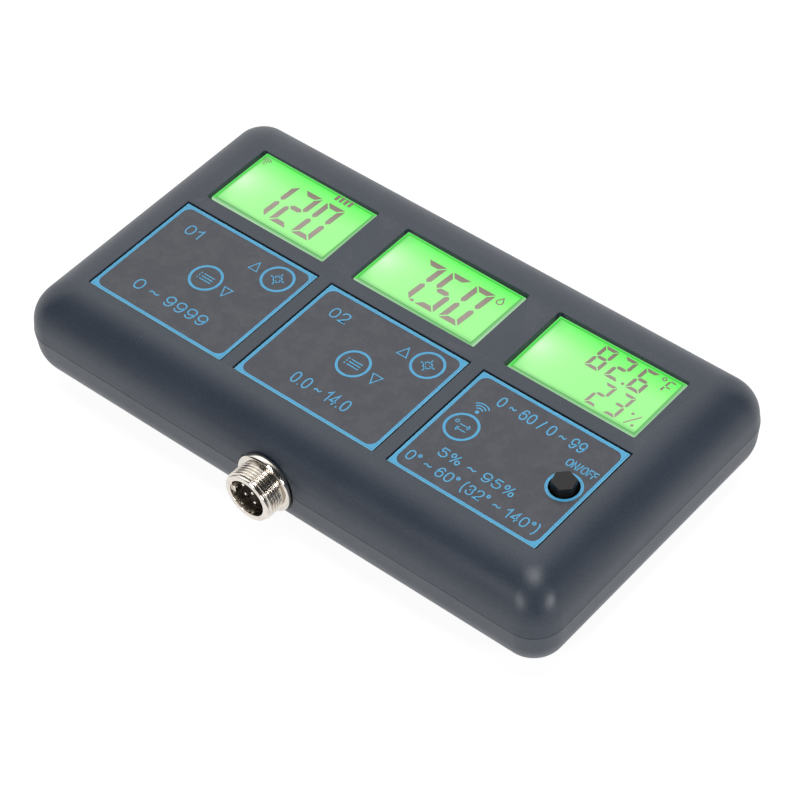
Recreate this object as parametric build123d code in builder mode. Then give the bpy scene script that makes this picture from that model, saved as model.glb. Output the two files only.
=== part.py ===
from build123d import *
from math import atan, sin, cos, tan, radians, pi
import os

os.makedirs("parts", exist_ok=True)

# ---------------------------------------------------------------- driving sizes (mm)
# Frame: +X along the length (reading direction), +Y towards the displays,
# +Z up out of the face. Origin: centre of the flat underside it rests on.
case_l = 190.0            # length at the seam
case_w = 104.5            # width at the seam
z_bot = 0.0               # flat underside of the case
z_seam = 18.5             # parting line
z_top = 33.9              # flat top of the case
seam_gap = 0.12           # fine line between the shells
r_plan = 9.7              # plan corner radius at the seam
up_draft = 0.0883         # tangent of the upper wall's draft
lo_draft = 0.0744         # tangent of the lower wall's draft
up_round = 12.8           # rolling radius of the top edge
lo_round = 14.2           # rolling radius of the bottom edge
r_plan_top = 2.3          # plan corner radius where the top flat begins
r_plan_bot = 2.3          # plan corner radius where the bottom flat begins
wall = 2.2
top_wall = 2.9
bot_wall = 2.4

label_w = 50.1            # printed keypad sheets
label_h = 41.3
label_y = -15.2
label_x = (-55.3, 0.0, 55.3)
label_t = 0.4
z_label = 33.4            # printed surface, 0.5 below the top flat
z_pocket = z_label - label_t
pocket_gap = (0.30, 0.55, 0.25, 0.35)  # dark line round each sheet: left, right, front, back

win_w = 44.7              # display windows
win_h = 25.0
win_y = 23.1
lcd_w = 44.2
lcd_h = 24.5
z_lcd = 33.5              # display glass surface
lcd_t = 2.2
pol_t = 0.15              # polariser film on the glass

key_r = 4.70              # moving disc of each key
key_slit = 0.06           # cut line round it, under the printed ring
key_hole_r = 5.0          # hole in the cover below it
key_travel = 0.25
stem_r = 1.6
mode_dx, mode_y = 0.0, -14.3
cal_dx, cal_y = 16.6, -2.25
unit_x = 38.4
power_x, power_y = 73.3, -14.3
power_hole_r = 4.35
power_cap_af = 6.5        # six-sided cap, across flats
power_cap_top = z_label + 2.5

board_x = 79.0
board_y0, board_y1 = -31.0, 42.0
board_t = 1.6
z_board = 24.8            # component side

wall_y = -case_w / 2      # front wall at the seam
seat_y = wall_y + 0.8     # flat seat cut in the wall for the socket
flange_y = seat_y - 0.5   # back of the socket's flange
flange_r = 9.35
seat_r = 9.75
rim_y = -60.2
conn_thread_r = 8.0
conn_pitch = 1.0
conn_root_r = 7.45
conn_bore_r = 5.95
conn_tail_r = 7.7
pad_y = -46.5             # flat pad inside the wall
n_crests = 5

post_x, post_y = 83.5, 39.5
well_top = 6.8            # screw heads bear here
z_cap = z_board + 5.1     # underside of the power button's cap
z_stem = z_board + 2.0    # lower end of the key stems


# ---------------------------------------------------------------- section families
def sections_up(hx, hy, rc, z0, z1, rf, rt, n=8):
    """(z, half x, half y, corner r) from the seam up to the flat top."""
    de = atan(up_draft)
    zw = z1 - rf * (1 - sin(de))
    dw = up_draft * (zw - z0)
    dm = dw + rf * cos(de)
    out = [(z0, 0.0), (z0 + (zw - z0) * 0.5, dw * 0.5)]
    for i in range(n + 1):
        ph = de + (pi / 2 - de) * i / n
        out.append((z1 - rf + rf * sin(ph), dw + rf * (cos(de) - cos(ph))))
    return [(z, hx - d, hy - d, rc + (rt - rc) * d / dm) for z, d in out]


def sections_down(hx, hy, rc, z0, z1, rf, rt, n=8):
    """(z, half x, half y, corner r) from the seam down to the flat bottom."""
    de = atan(lo_draft)
    zw = z1 + rf * (1 - sin(de))
    dw = lo_draft * (z0 - zw)
    dm = dw + rf * cos(de)
    out = [(z0, 0.0), (z0 + (zw - z0) * 0.5, dw * 0.5)]
    for i in range(n + 1):
        ph = de + (pi / 2 - de) * i / n
        out.append((z1 + rf - rf * sin(ph), dw + rf * (cos(de) - cos(ph))))
    return [(z, hx - d, hy - d, rc + (rt - rc) * d / dm) for z, d in out]


posts = [(sx * post_x, sy * post_y) for sx in (-1, 1) for sy in (-1, 1)]
bosses = [(-27.65, 38.4), (27.65, 38.4), (-27.65, -26.5), (27.65, -26.5),
          (-76.0, -26.5), (76.0, -26.5), (-76.0, 38.4), (76.0, 38.4)]
keys = [("mode_key_left", label_x[0] + mode_dx, mode_y),
        ("calibrate_key_left", label_x[0] + cal_dx, cal_y),
        ("mode_key_middle", label_x[1] + mode_dx, mode_y),
        ("calibrate_key_middle", label_x[1] + cal_dx, cal_y),
        ("unit_key_right", unit_x, mode_y)]
key_xy = [(x, y) for _, x, y in keys]
conn_axis = Axis((0, 0, z_seam), (0, 1, 0))
side_names = ("left", "middle", "right")

# ---------------------------------------------------------------- front cover
# Hollow of the front cover, less the posts, bosses and socket pad that stand in it.
with BuildPart() as upper_hollow:
    for z, hx, hy, r in sections_up(case_l / 2 - wall, case_w / 2 - wall, r_plan - wall,
                                    z_seam + seam_gap / 2, z_top - top_wall, 10.2, 1.6):
        with BuildSketch(Plane.XY.offset(z)):
            RectangleRounded(2 * hx, 2 * hy, r)
    loft()
    # rebate that takes the rear cover's tongue
    with BuildSketch(Plane.XY.offset(z_seam - 1.0)):
        RectangleRounded(case_l - 2.2, case_w - 2.2, r_plan - 1.1)
    extrude(amount=3.1)
    # screw posts and board bosses
    with BuildSketch(Plane.XY.offset(z_seam + seam_gap / 2)):
        with Locations(*posts):
            Circle(3.5)
    extrude(amount=20, mode=Mode.SUBTRACT)
    with BuildSketch(Plane.XY.offset(z_board)):
        with Locations(*bosses):
            Circle(2.6)
    extrude(amount=20, mode=Mode.SUBTRACT)
    # flat pad behind the socket
    with BuildSketch(Plane.XY.offset(z_seam - 2)):
        with Locations((0, (pad_y - 60) / 2)):
            Rectangle(25, abs(-60 - pad_y))
    extrude(amount=20, mode=Mode.SUBTRACT)

with BuildPart() as front_cover:
    for z, hx, hy, r in sections_up(case_l / 2, case_w / 2, r_plan,
                                    z_seam + seam_gap / 2, z_top, up_round, r_plan_top):
        with BuildSketch(Plane.XY.offset(z)):
            RectangleRounded(2 * hx, 2 * hy, r)
    loft()
    add(upper_hollow.part, mode=Mode.SUBTRACT)
    # recesses for the printed sheets
    with BuildSketch(Plane.XY.offset(z_top)):
        gl, gr, gf, gb = pocket_gap
        with Locations(*[(x + (gr - gl) / 2, label_y + (gb - gf) / 2) for x in label_x]):
            Rectangle(label_w + gl + gr, label_h + gf + gb)
    extrude(amount=-(z_top - z_pocket), mode=Mode.SUBTRACT)
    # display windows
    with BuildSketch(Plane.XY.offset(z_top)):
        with Locations(*[(x, win_y) for x in label_x]):
            RectangleRounded(win_w, win_h, 0.4)
    extrude(amount=-6, mode=Mode.SUBTRACT)
    # key holes and the power button's hole
    with BuildSketch(Plane.XY.offset(z_top)):
        with Locations(*key_xy):
            Circle(key_hole_r)
        with Locations((power_x, power_y)):
            Circle(power_hole_r)
    extrude(amount=-6, mode=Mode.SUBTRACT)
    # pilot holes for the case screws and the board screws
    with BuildSketch(Plane.XY.offset(z_seam)):
        with Locations(*posts):
            Circle(1.45)
    extrude(amount=9.5, mode=Mode.SUBTRACT)
    with BuildSketch(Plane.XY.offset(z_board - 0.5)):
        with Locations(*bosses):
            Circle(1.1)
    extrude(amount=6.0, mode=Mode.SUBTRACT)
    # half of the socket's hole in the front wall
    with BuildSketch(Plane.XZ.offset(70)):
        with Locations((0, z_seam)):
            Circle(conn_tail_r + 0.1)
    extrude(amount=-40, mode=Mode.SUBTRACT)
    with BuildSketch(Plane.XZ.offset(70)):
        with Locations((0, z_seam)):
            Circle(seat_r)
    extrude(amount=-(70 + seat_y), mode=Mode.SUBTRACT)
front_cover.part.label = "front_cover"
export_step(front_cover.part, "parts/front_cover.step")

# ---------------------------------------------------------------- rear cover
with BuildPart() as lower_hollow:
    for z, hx, hy, r in sections_down(case_l / 2 - wall, case_w / 2 - wall, r_plan - wall,
                                      z_seam - seam_gap / 2, z_bot + bot_wall, 11.8, 1.6):
        with BuildSketch(Plane.XY.offset(z)):
            RectangleRounded(2 * hx, 2 * hy, r)
    loft()
    with BuildSketch(Plane.XY.offset(0)):
        with Locations(*posts):
            Circle(3.5)
    extrude(amount=z_seam, mode=Mode.SUBTRACT)
    with BuildSketch(Plane.XY.offset(z_seam - 12.0)):
        with Locations((0, (pad_y - 60) / 2)):
            Rectangle(25, abs(-60 - pad_y))
    extrude(amount=13, mode=Mode.SUBTRACT)
    # two guides that hold the sensor board
    with BuildSketch(Plane.XY.offset(0)):
        with Locations((-86.4, 7.4), (-86.4, -7.4)):
            Rectangle(3.6, 2.4)
    extrude(amount=12, mode=Mode.SUBTRACT)

with BuildPart() as rear_cover:
    for z, hx, hy, r in sections_down(case_l / 2, case_w / 2, r_plan,
                                      z_seam - seam_gap / 2, z_bot, lo_round, r_plan_bot):
        with BuildSketch(Plane.XY.offset(z)):
            RectangleRounded(2 * hx, 2 * hy, r)
    loft()
    add(lower_hollow.part, mode=Mode.SUBTRACT)
    # tongue that registers in the front cover, broken at the socket
    with BuildSketch(Plane.XY.offset(z_seam - 1.2)):
        RectangleRounded(case_l - 2.5, case_w - 2.5, r_plan - 1.25)
        RectangleRounded(case_l - 2 * wall, case_w - 2 * wall, r_plan - wall,
                         mode=Mode.SUBTRACT)
        with Locations((0, wall_y)):
            Rectangle(26.4, 14, mode=Mode.SUBTRACT)
    extrude(amount=2.9)
    # screw wells from below
    with BuildSketch(Plane.XY.offset(0)):
        with Locations(*posts):
            Circle(3.05)
    extrude(amount=well_top, mode=Mode.SUBTRACT)
    with BuildSketch(Plane.XY.offset(0)):
        with Locations(*posts):
            Circle(1.75)
    extrude(amount=z_seam + 1, mode=Mode.SUBTRACT)
    # air slots for the humidity sensor, in the left wall
    with BuildSketch(Plane.YZ.offset(-98)):
        with GridLocations(2.6, 1, 5, 1):
            with Locations((0, 10.3)):
                SlotOverall(7.5, 1.3, rotation=90)
    extrude(amount=9.0, mode=Mode.SUBTRACT)
    # slots in the guides for the sensor board
    with BuildSketch(Plane.XY.offset(4.0)):
        with Locations((-86.4, 0)):
            Rectangle(1.3, 15.0)
    extrude(amount=9, mode=Mode.SUBTRACT)
    # lower half of the socket's hole
    with BuildSketch(Plane.XZ.offset(70)):
        with Locations((0, z_seam)):
            Circle(conn_tail_r + 0.1)
    extrude(amount=-40, mode=Mode.SUBTRACT)
    with BuildSketch(Plane.XZ.offset(70)):
        with Locations((0, z_seam)):
            Circle(seat_r)
    extrude(amount=-(70 + seat_y), mode=Mode.SUBTRACT)
rear_cover.part.label = "rear_cover"
export_step(rear_cover.part, "parts/rear_cover.step")

# ---------------------------------------------------------------- case screws
with BuildPart() as case_screws:
    with BuildSketch(Plane.XY.offset(well_top - 2.3)):
        with Locations(*posts):
            Circle(2.9)
    extrude(amount=2.25)
    with BuildSketch(Plane.XY.offset(well_top - 0.1)):
        with Locations(*posts):
            Circle(1.4)
    extrude(amount=19.5)
    chamfer(case_screws.edges().filter_by(GeomType.CIRCLE).group_by(Axis.Z)[-1], 0.6)
    chamfer(case_screws.edges().filter_by(GeomType.CIRCLE).group_by(Axis.Z)[0], 0.5)
    with BuildSketch(Plane.XY.offset(well_top - 2.3)):
        with Locations(*posts):
            Rectangle(3.2, 0.75)
            Rectangle(0.75, 3.2)
    extrude(amount=1.2, mode=Mode.SUBTRACT)
case_screws.part.label = "case_screws"
export_step(case_screws.part, "parts/case_screws.step")

# ---------------------------------------------------------------- printed keypad sheets
for side, lx in zip(side_names, label_x):
    with BuildPart() as sheet:
        with BuildSketch(Plane.XY.offset(z_pocket)):
            with Locations((lx, label_y)):
                Rectangle(label_w, label_h)
            near = [(x, y) for x, y in key_xy if abs(x - lx) < label_w / 2]
            with Locations(*near):
                Circle(key_r + key_slit, mode=Mode.SUBTRACT)
            if side == "right":
                with Locations((power_x, power_y)):
                    Circle(power_hole_r, mode=Mode.SUBTRACT)
        extrude(amount=label_t)
    sheet.part.label = "keypad_sheet_" + side
    export_step(sheet.part, "parts/keypad_sheet_" + side + ".step")

# ---------------------------------------------------------------- keys: a disc of the sheet and the switch's stem below it
for name, kx, ky in keys:
    with BuildPart() as key_disc:
        with BuildSketch(Plane.XY.offset(z_pocket)):
            with Locations((kx, ky)):
                Circle(key_r)
        extrude(amount=label_t)
    key_disc.part.label = name
    export_step(key_disc.part, "parts/" + name + ".step")

    with BuildPart() as key_stem:
        with BuildSketch(Plane.XY.offset(z_stem)):
            with Locations((kx, ky)):
                Circle(stem_r)
        extrude(amount=z_pocket - z_stem)
    key_stem.part.label = name.replace("_key", "_key_stem")
    export_step(key_stem.part, "parts/" + name.replace("_key", "_key_stem") + ".step")

with BuildPart() as tact_switches:
    with BuildSketch(Plane.XY.offset(z_board)):
        with Locations(*key_xy):
            Rectangle(6.0, 6.0)
    extrude(amount=3.5)
    chamfer(tact_switches.edges().group_by(Axis.Z)[-1], 0.3)
    with BuildSketch(Plane.XY.offset(z_board + 1.4)):
        with Locations(*key_xy):
            Circle(stem_r + 0.08)
    extrude(amount=4, mode=Mode.SUBTRACT)
tact_switches.part.label = "tact_switches"
export_step(tact_switches.part, "parts/tact_switches.step")

# ---------------------------------------------------------------- power switch
with BuildPart() as power_button_cap:
    with BuildSketch(Plane.XY.offset(z_cap)):
        with Locations((power_x, power_y)):
            RegularPolygon(power_cap_af / 2, 6, major_radius=False, rotation=44.6)
    extrude(amount=power_cap_top - z_cap)
    fillet(power_button_cap.edges().filter_by(Axis.Z), 0.8)
    chamfer(power_button_cap.edges().group_by(Axis.Z)[-1], 0.25)
    with BuildSketch(Plane.XY.offset(z_cap)):
        with Locations((power_x, power_y)):
            Rectangle(3.2, 3.2)
    extrude(amount=3.6, mode=Mode.SUBTRACT)
power_button_cap.part.label = "power_button_cap"
export_step(power_button_cap.part, "parts/power_button_cap.step")

with BuildPart() as power_switch_plunger:
    with BuildSketch(Plane.XY.offset(z_board + 1.6)):
        with Locations((power_x, power_y)):
            Rectangle(3.16, 3.16)
    extrude(amount=z_cap + 3.6 - z_board - 1.6)
power_switch_plunger.part.label = "power_switch_plunger"
export_step(power_switch_plunger.part, "parts/power_switch_plunger.step")

with BuildPart() as power_switch_body:
    with BuildSketch(Plane.XY.offset(z_board)):
        with Locations((power_x, power_y)):
            RectangleRounded(8.2, 8.2, 0.4)
    extrude(amount=4.0)
    with BuildSketch(Plane.XY.offset(z_board + 0.8)):
        with Locations((power_x, power_y)):
            Rectangle(3.34, 3.34)
    extrude(amount=6, mode=Mode.SUBTRACT)
power_switch_body.part.label = "power_switch_body"
export_step(power_switch_body.part, "parts/power_switch_body.step")

# ---------------------------------------------------------------- displays
for side, lx in zip(side_names, label_x):
    with BuildPart() as glass:
        with BuildSketch(Plane.XY.offset(z_lcd - lcd_t)):
            with Locations((lx, win_y)):
                Rectangle(lcd_w, lcd_h)
        extrude(amount=lcd_t - pol_t)
    glass.part.label = "display_glass_" + side
    export_step(glass.part, "parts/display_glass_" + side + ".step")

    with BuildPart() as polariser:
        with BuildSketch(Plane.XY.offset(z_lcd - pol_t)):
            with Locations((lx, win_y)):
                Rectangle(lcd_w - 1.8, lcd_h - 1.8)
        extrude(amount=pol_t)
    polariser.part.label = "display_film_" + side
    export_step(polariser.part, "parts/display_film_" + side + ".step")

    with BuildPart() as backlight:
        with BuildSketch(Plane.XY.offset(z_board)):
            with Locations((lx, win_y)):
                Rectangle(lcd_w - 0.4, lcd_h - 2.6)
        extrude(amount=z_lcd - lcd_t - z_board)
        # tray hollow under the light guide
        with BuildSketch(Plane.XY.offset(z_board)):
            with Locations((lx, win_y)):
                Rectangle(lcd_w - 4.4, lcd_h - 6.6)
        extrude(amount=2.4, mode=Mode.SUBTRACT)
    backlight.part.label = "backlight_" + side
    export_step(backlight.part, "parts/backlight_" + side + ".step")

with BuildPart() as display_leads:
    with BuildSketch(Plane.XY.offset(z_board)):
        for lx in label_x:
            with Locations((lx, win_y - lcd_h / 2 + 0.65), (lx, win_y + lcd_h / 2 - 0.65)):
                with GridLocations(3.6, 1, 11, 1):
                    Rectangle(0.5, 0.3)
    extrude(amount=z_lcd - lcd_t - z_board)
display_leads.part.label = "display_leads"
export_step(display_leads.part, "parts/display_leads.step")

# ---------------------------------------------------------------- main board
with BuildPart() as main_board:
    with BuildSketch(Plane.XY.offset(z_board - board_t)):
        with Locations((0, (board_y0 + board_y1) / 2)):
            RectangleRounded(2 * board_x, board_y1 - board_y0, 1.5)
        with Locations(*bosses):
            Circle(1.3, mode=Mode.SUBTRACT)
    extrude(amount=board_t)
main_board.part.label = "main_board"
export_step(main_board.part, "parts/main_board.step")

with BuildPart() as board_screws:
    with BuildSketch(Plane.XY.offset(z_board - board_t - 1.5)):
        with Locations(*bosses):
            Circle(2.3)
    extrude(amount=1.5)
    with BuildSketch(Plane.XY.offset(z_board - board_t - 0.1)):
        with Locations(*bosses):
            Circle(1.05)
    extrude(amount=6.6)
    with BuildSketch(Plane.XY.offset(z_board - board_t - 1.5)):
        with Locations(*bosses):
            Rectangle(2.4, 0.6)
            Rectangle(0.6, 2.4)
    extrude(amount=0.8, mode=Mode.SUBTRACT)
board_screws.part.label = "board_screws"
export_step(board_screws.part, "parts/board_screws.step")

z_under = z_board - board_t
with BuildPart() as controller_chips:
    with BuildSketch(Plane.XY.offset(z_under)):
        with Locations((-55, 6), (0, 6), (55, 6)):
            Rectangle(10, 10)
    extrude(amount=-1.5)
    chamfer(controller_chips.edges().group_by(Axis.Z)[0], 0.25)
controller_chips.part.label = "controller_chips"
export_step(controller_chips.part, "parts/controller_chips.step")

with BuildPart() as amplifier_chips:
    with BuildSketch(Plane.XY.offset(z_under)):
        with Locations((-45, -18), (-34, -18), (18, 22), (30, 22)):
            Rectangle(5.0, 4.0)
    extrude(amount=-1.4)
amplifier_chips.part.label = "amplifier_chips"
export_step(amplifier_chips.part, "parts/amplifier_chips.step")

with BuildPart() as capacitors:
    with BuildSketch(Plane.XY.offset(z_under)):
        with Locations((60, -18), (50, -18), (40, -18)):
            Circle(3.15)
    extrude(amount=-7.7)
    fillet(capacitors.edges().filter_by(GeomType.CIRCLE).group_by(Axis.Z)[0], 0.5)
capacitors.part.label = "capacitors"
export_step(capacitors.part, "parts/capacitors.step")

with BuildPart() as voltage_regulator:
    with BuildSketch(Plane.XY.offset(z_under)):
        with Locations((64, -6)):
            Rectangle(6.5, 9.5)
    extrude(amount=-2.3)
    chamfer(voltage_regulator.edges().group_by(Axis.Z)[0], 0.3)
voltage_regulator.part.label = "voltage_regulator"
export_step(voltage_regulator.part, "parts/voltage_regulator.step")

with BuildPart() as radio_module:
    with BuildSketch(Plane.XY.offset(z_under)):
        with Locations((69, 24)):
            Rectangle(16, 24)
    extrude(amount=-0.8)
    with BuildSketch(Plane.XY.offset(z_under - 0.8)):
        with Locations((69, 21.5)):
            Rectangle(14, 17)
    extrude(amount=-2.2)
radio_module.part.label = "radio_module"
export_step(radio_module.part, "parts/radio_module.step")

with BuildPart() as signal_header:
    with BuildSketch(Plane.XY.offset(z_under)):
        with Locations((0, -21.5)):
            Rectangle(16.6, 6.0)
    extrude(amount=-7.0)
    with BuildSketch(Plane.XY.offset(z_under - 7.0)):
        with Locations((0, -21.5)):
            Rectangle(14.8, 4.2)
    extrude(amount=5.2, mode=Mode.SUBTRACT)
signal_header.part.label = "signal_header"
export_step(signal_header.part, "parts/signal_header.step")

with BuildPart() as signal_plug:
    with BuildSketch(Plane.XY.offset(z_under - 8.6)):
        with Locations((0, -21.5)):
            Rectangle(14.6, 4.0)
    extrude(amount=6.6)
signal_plug.part.label = "signal_plug"
export_step(signal_plug.part, "parts/signal_plug.step")

# ---------------------------------------------------------------- seven-pin panel socket
c = conn_thread_r
with BuildPart() as connector_shell:
    with BuildSketch(Plane.YZ):
        with BuildLine():
            pts = [(-41.0, z_seam + conn_bore_r), (-41.0, z_seam + conn_tail_r - 0.4),
                   (-41.4, z_seam + conn_tail_r), (flange_y, z_seam + conn_tail_r),
                   (flange_y, z_seam + flange_r), (flange_y - 1.35, z_seam + flange_r),
                   (flange_y - 1.7, z_seam + flange_r - 0.45), (flange_y - 1.7, z_seam + conn_root_r)]
            y = flange_y - 2.4
            for i in range(n_crests):
                pts += [(y, z_seam + conn_root_r), (y - 0.25, z_seam + c),
                        (y - 0.50, z_seam + c), (y - 0.75, z_seam + conn_root_r)]
                y -= conn_pitch
            pts += [(y + 0.05, z_seam + conn_root_r), (y - 0.05, z_seam + 7.55)]
            pts += [(rim_y, z_seam + 7.55), (rim_y, z_seam + conn_bore_r)]
            Polyline(*pts, close=True)
        make_face()
    revolve(axis=conn_axis, revolution_arc=360)
    # broad and narrow key ribs inside
    with BuildSketch(Plane.XZ.offset(53.2)):
        with BuildLine():
            Polyline((-6.2, z_seam + 1.0), (-4.8, z_seam + 1.0), (-4.8, z_seam - 1.4),
                     (-6.2, z_seam - 1.4), close=True)
        make_face()
        with Locations((5.75, z_seam + 0.9)):
            Rectangle(1.0, 1.4)
    extrude(amount=6.2)
connector_shell.part.label = "connector_shell"
export_step(connector_shell.part, "parts/connector_shell.step")

with BuildPart() as connector_insulator:
    with BuildSketch(Plane.XZ.offset(41.5)):
        with Locations((0, z_seam)):
            Circle(conn_bore_r - 0.02)
            Circle(0.52, mode=Mode.SUBTRACT)
            with PolarLocations(3.5, 6, start_angle=158 - 120):
                Circle(0.52, mode=Mode.SUBTRACT)
    extrude(amount=11.6)
connector_insulator.part.label = "connector_insulator"
export_step(connector_insulator.part, "parts/connector_insulator.step")

with BuildPart() as connector_pins:
    with BuildSketch(Plane.XZ.offset(39.0)):
        with Locations((0, z_seam)):
            Circle(0.5)
            with PolarLocations(3.5, 6, start_angle=158 - 120):
                Circle(0.5)
    extrude(amount=19.0)
    fillet(connector_pins.edges().filter_by(GeomType.CIRCLE).group_by(Axis.Y)[0], 0.35)
connector_pins.part.label = "connector_pins"
export_step(connector_pins.part, "parts/connector_pins.step")

with BuildPart() as connector_gasket:
    with BuildSketch(Plane.XZ.offset(-seat_y)):
        with Locations((0, z_seam)):
            Circle(flange_r - 0.15)
            Circle(conn_tail_r, mode=Mode.SUBTRACT)
    extrude(amount=0.5)
connector_gasket.part.label = "connector_gasket"
export_step(connector_gasket.part, "parts/connector_gasket.step")

with BuildPart() as connector_nut:
    with BuildSketch(Plane.XZ.offset(-pad_y - 2.5)):
        with Locations((0, z_seam)):
            RegularPolygon(9.5, 6, major_radius=False)
            Circle(conn_tail_r + 0.02, mode=Mode.SUBTRACT)
    extrude(amount=2.5)
connector_nut.part.label = "connector_nut"
export_step(connector_nut.part, "parts/connector_nut.step")

# lead from the socket's solder cups to the plug on the board
with BuildPart() as connector_boot:
    with BuildSketch(Plane.XZ.offset(39.0)):
        with Locations((0, z_seam)):
            Circle(4.6)
    with BuildSketch(Plane.XZ.offset(34.0)):
        with Locations((0, z_seam)):
            Circle(2.4)
    loft()
connector_boot.part.label = "connector_boot"
export_step(connector_boot.part, "parts/connector_boot.step")

cable_r = 1.8
with BuildPart() as signal_cable:
    with BuildLine():
        route = FilletPolyline((0, -34.0, z_seam), (0, -29.6, z_seam), (0, -28.6, 7.0),
                               (0, -21.5, 7.0), (0, -21.5, z_under - 8.6), radius=[3.2, 3.2, 3.2])
    with BuildSketch(Plane(origin=(0, -34.0, z_seam), z_dir=(0, 1, 0))):
        Circle(cable_r)
    sweep()
signal_cable.part.label = "signal_cable"
export_step(signal_cable.part, "parts/signal_cable.step")

# ---------------------------------------------------------------- humidity sensor behind the air slots
with BuildPart() as sensor_board:
    with BuildSketch(Plane.XY.offset(4.0)):
        with Locations((-86.4, 0)):
            Rectangle(1.2, 14.8)
    extrude(amount=12.0)
sensor_board.part.label = "sensor_board"
export_step(sensor_board.part, "parts/sensor_board.step")

with BuildPart() as humidity_sensor:
    with BuildSketch(Plane.YZ.offset(-87.0)):
        with Locations((0, 10.3)):
            Rectangle(8.4, 8.4)
    extrude(amount=-2.4)
    chamfer(humidity_sensor.edges().group_by(Axis.X)[0], 0.4)
humidity_sensor.part.label = "humidity_sensor"
export_step(humidity_sensor.part, "parts/humidity_sensor.step")

with BuildPart() as sensor_lead:
    with BuildLine():
        FilletPolyline((-85.8, 0, 10.8), (-76.0, 0, 10.8), (-76.0, 0, z_under), radius=4.0)
    with BuildSketch(Plane(origin=(-85.8, 0, 10.8), z_dir=(1, 0, 0))):
        Circle(1.1)
    sweep()
sensor_lead.part.label = "sensor_lead"
export_step(sensor_lead.part, "parts/sensor_lead.step")
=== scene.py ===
from math import atan, cos, pi, radians, sin, sqrt

import bmesh
import bpy
from mathutils import Matrix, Vector


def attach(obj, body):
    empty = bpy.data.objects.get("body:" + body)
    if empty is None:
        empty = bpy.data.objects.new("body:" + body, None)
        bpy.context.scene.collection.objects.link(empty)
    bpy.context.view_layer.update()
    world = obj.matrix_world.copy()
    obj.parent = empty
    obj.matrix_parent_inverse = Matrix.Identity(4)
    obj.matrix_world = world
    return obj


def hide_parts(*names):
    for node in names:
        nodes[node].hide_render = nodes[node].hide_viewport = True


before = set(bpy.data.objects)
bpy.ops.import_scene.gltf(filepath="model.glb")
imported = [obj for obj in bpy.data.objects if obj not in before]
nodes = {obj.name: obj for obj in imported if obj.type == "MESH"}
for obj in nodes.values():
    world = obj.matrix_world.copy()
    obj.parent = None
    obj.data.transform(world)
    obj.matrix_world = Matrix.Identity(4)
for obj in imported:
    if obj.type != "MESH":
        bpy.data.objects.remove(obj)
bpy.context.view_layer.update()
scene = bpy.context.scene
scene.view_settings.view_transform = "Standard"
MM = 0.001

# ------------------------------------------------------------------ camera
cam_data = bpy.data.cameras.new("camera")
cam_data.lens = 129.3417
cam_data.sensor_width = 36.0
cam_data.clip_start = 0.02
cam_data.clip_end = 20.0
camera = bpy.data.objects.new("camera", cam_data)
scene.collection.objects.link(camera)
camera.matrix_world = Matrix((
    (0.76574017, -0.44749978, 0.46193716, 0.3799450),
    (0.64174482, 0.57908640, -0.50281461, -0.4098346),
    (-0.0424921, 0.68147112, 0.73061038, 0.6043890),
    (0.0, 0.0, 0.0, 1.0)))
scene.camera = camera

# ------------------------------------------------------------------ sizes (mm), as the CAD has them
Z_SEAM, Z_TOP, GAP = 18.5, 33.9, 0.12
UP_DRAFT, LO_DRAFT = 0.0883, 0.0744
LABEL_W, LABEL_H, LABEL_Y, Z_LABEL = 50.1, 41.3, -15.2, 33.4
LABEL_X = (-55.3, 0.0, 55.3)
WIN_W, WIN_H, WIN_Y, Z_LCD = 44.7, 25.0, 23.1, 33.5
LCD_W, LCD_H = 43.5, 24.2
FILM_IN = 0.85
# how each display sits in its window: centre x, y and a small turn in degrees
DISPLAYS = (("left", -54.95, 23.35, -0.7), ("middle", 0.0, 23.0, -0.8), ("right", 55.65, 23.1, 0.3))
GAP_L, GAP_R, GAP_F, GAP_B = 0.30, 0.55, 0.25, 0.35   # dark line round each sheet
SEAT_Y, SEAT_R = -51.45, 9.75
KEY_R = 4.70
KEYS = (("mode_key_left", -55.3, -14.3), ("calibrate_key_left", -38.7, -2.25),
        ("mode_key_middle", 0.0, -14.3), ("calibrate_key_middle", 16.6, -2.25),
        ("unit_key_right", 38.4, -14.3))
POWER = (73.3, -14.3)
POSTS = [(sx * 83.5, sy * 39.5) for sx in (-1, 1) for sy in (-1, 1)]
BOSSES = [(-27.65, 38.4), (27.65, 38.4), (-27.65, -26.5), (27.65, -26.5),
          (-76.0, -26.5), (76.0, -26.5), (-76.0, 38.4), (76.0, 38.4)]


# ------------------------------------------------------------------ mesh helpers
def link(name, me):
    ob = bpy.data.objects.new(name, me)
    scene.collection.objects.link(ob)
    return ob


def mesh_of(name, verts, faces):
    """A closed mesh from points in mm, its faces turned outwards."""
    me = bpy.data.meshes.new(name)
    bm = bmesh.new()
    vs = [bm.verts.new((x * MM, y * MM, z * MM)) for x, y, z in verts]
    for f in faces:
        bm.faces.new([vs[i] for i in f])
    bmesh.ops.recalc_face_normals(bm, faces=bm.faces)
    bm.to_mesh(me)
    bm.free()
    return link(name, me)


def rect_loop(hx, hy, r, z, na=14, nx=12, ny=7, cx=0.0, cy=0.0):
    """A rounded rectangle's points, counter-clockwise."""
    corners = ((hx - r, hy - r, 0), (r - hx, hy - r, 90),
               (r - hx, r - hy, 180), (hx - r, r - hy, 270))
    pts = []
    for k, (x, y, a0) in enumerate(corners):
        for i in range(na + 1):
            a = radians(a0 + 90.0 * i / na)
            pts.append((cx + x + r * cos(a), cy + y + r * sin(a), z))
        x1, y1, a1 = corners[(k + 1) % 4]
        p = pts[-1]
        q = (cx + x1 + r * cos(radians(a1)), cy + y1 + r * sin(radians(a1)))
        n = nx if k % 2 == 0 else ny
        for i in range(1, n):
            t = i / n
            pts.append((p[0] + (q[0] - p[0]) * t, p[1] + (q[1] - p[1]) * t, z))
    return pts


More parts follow.
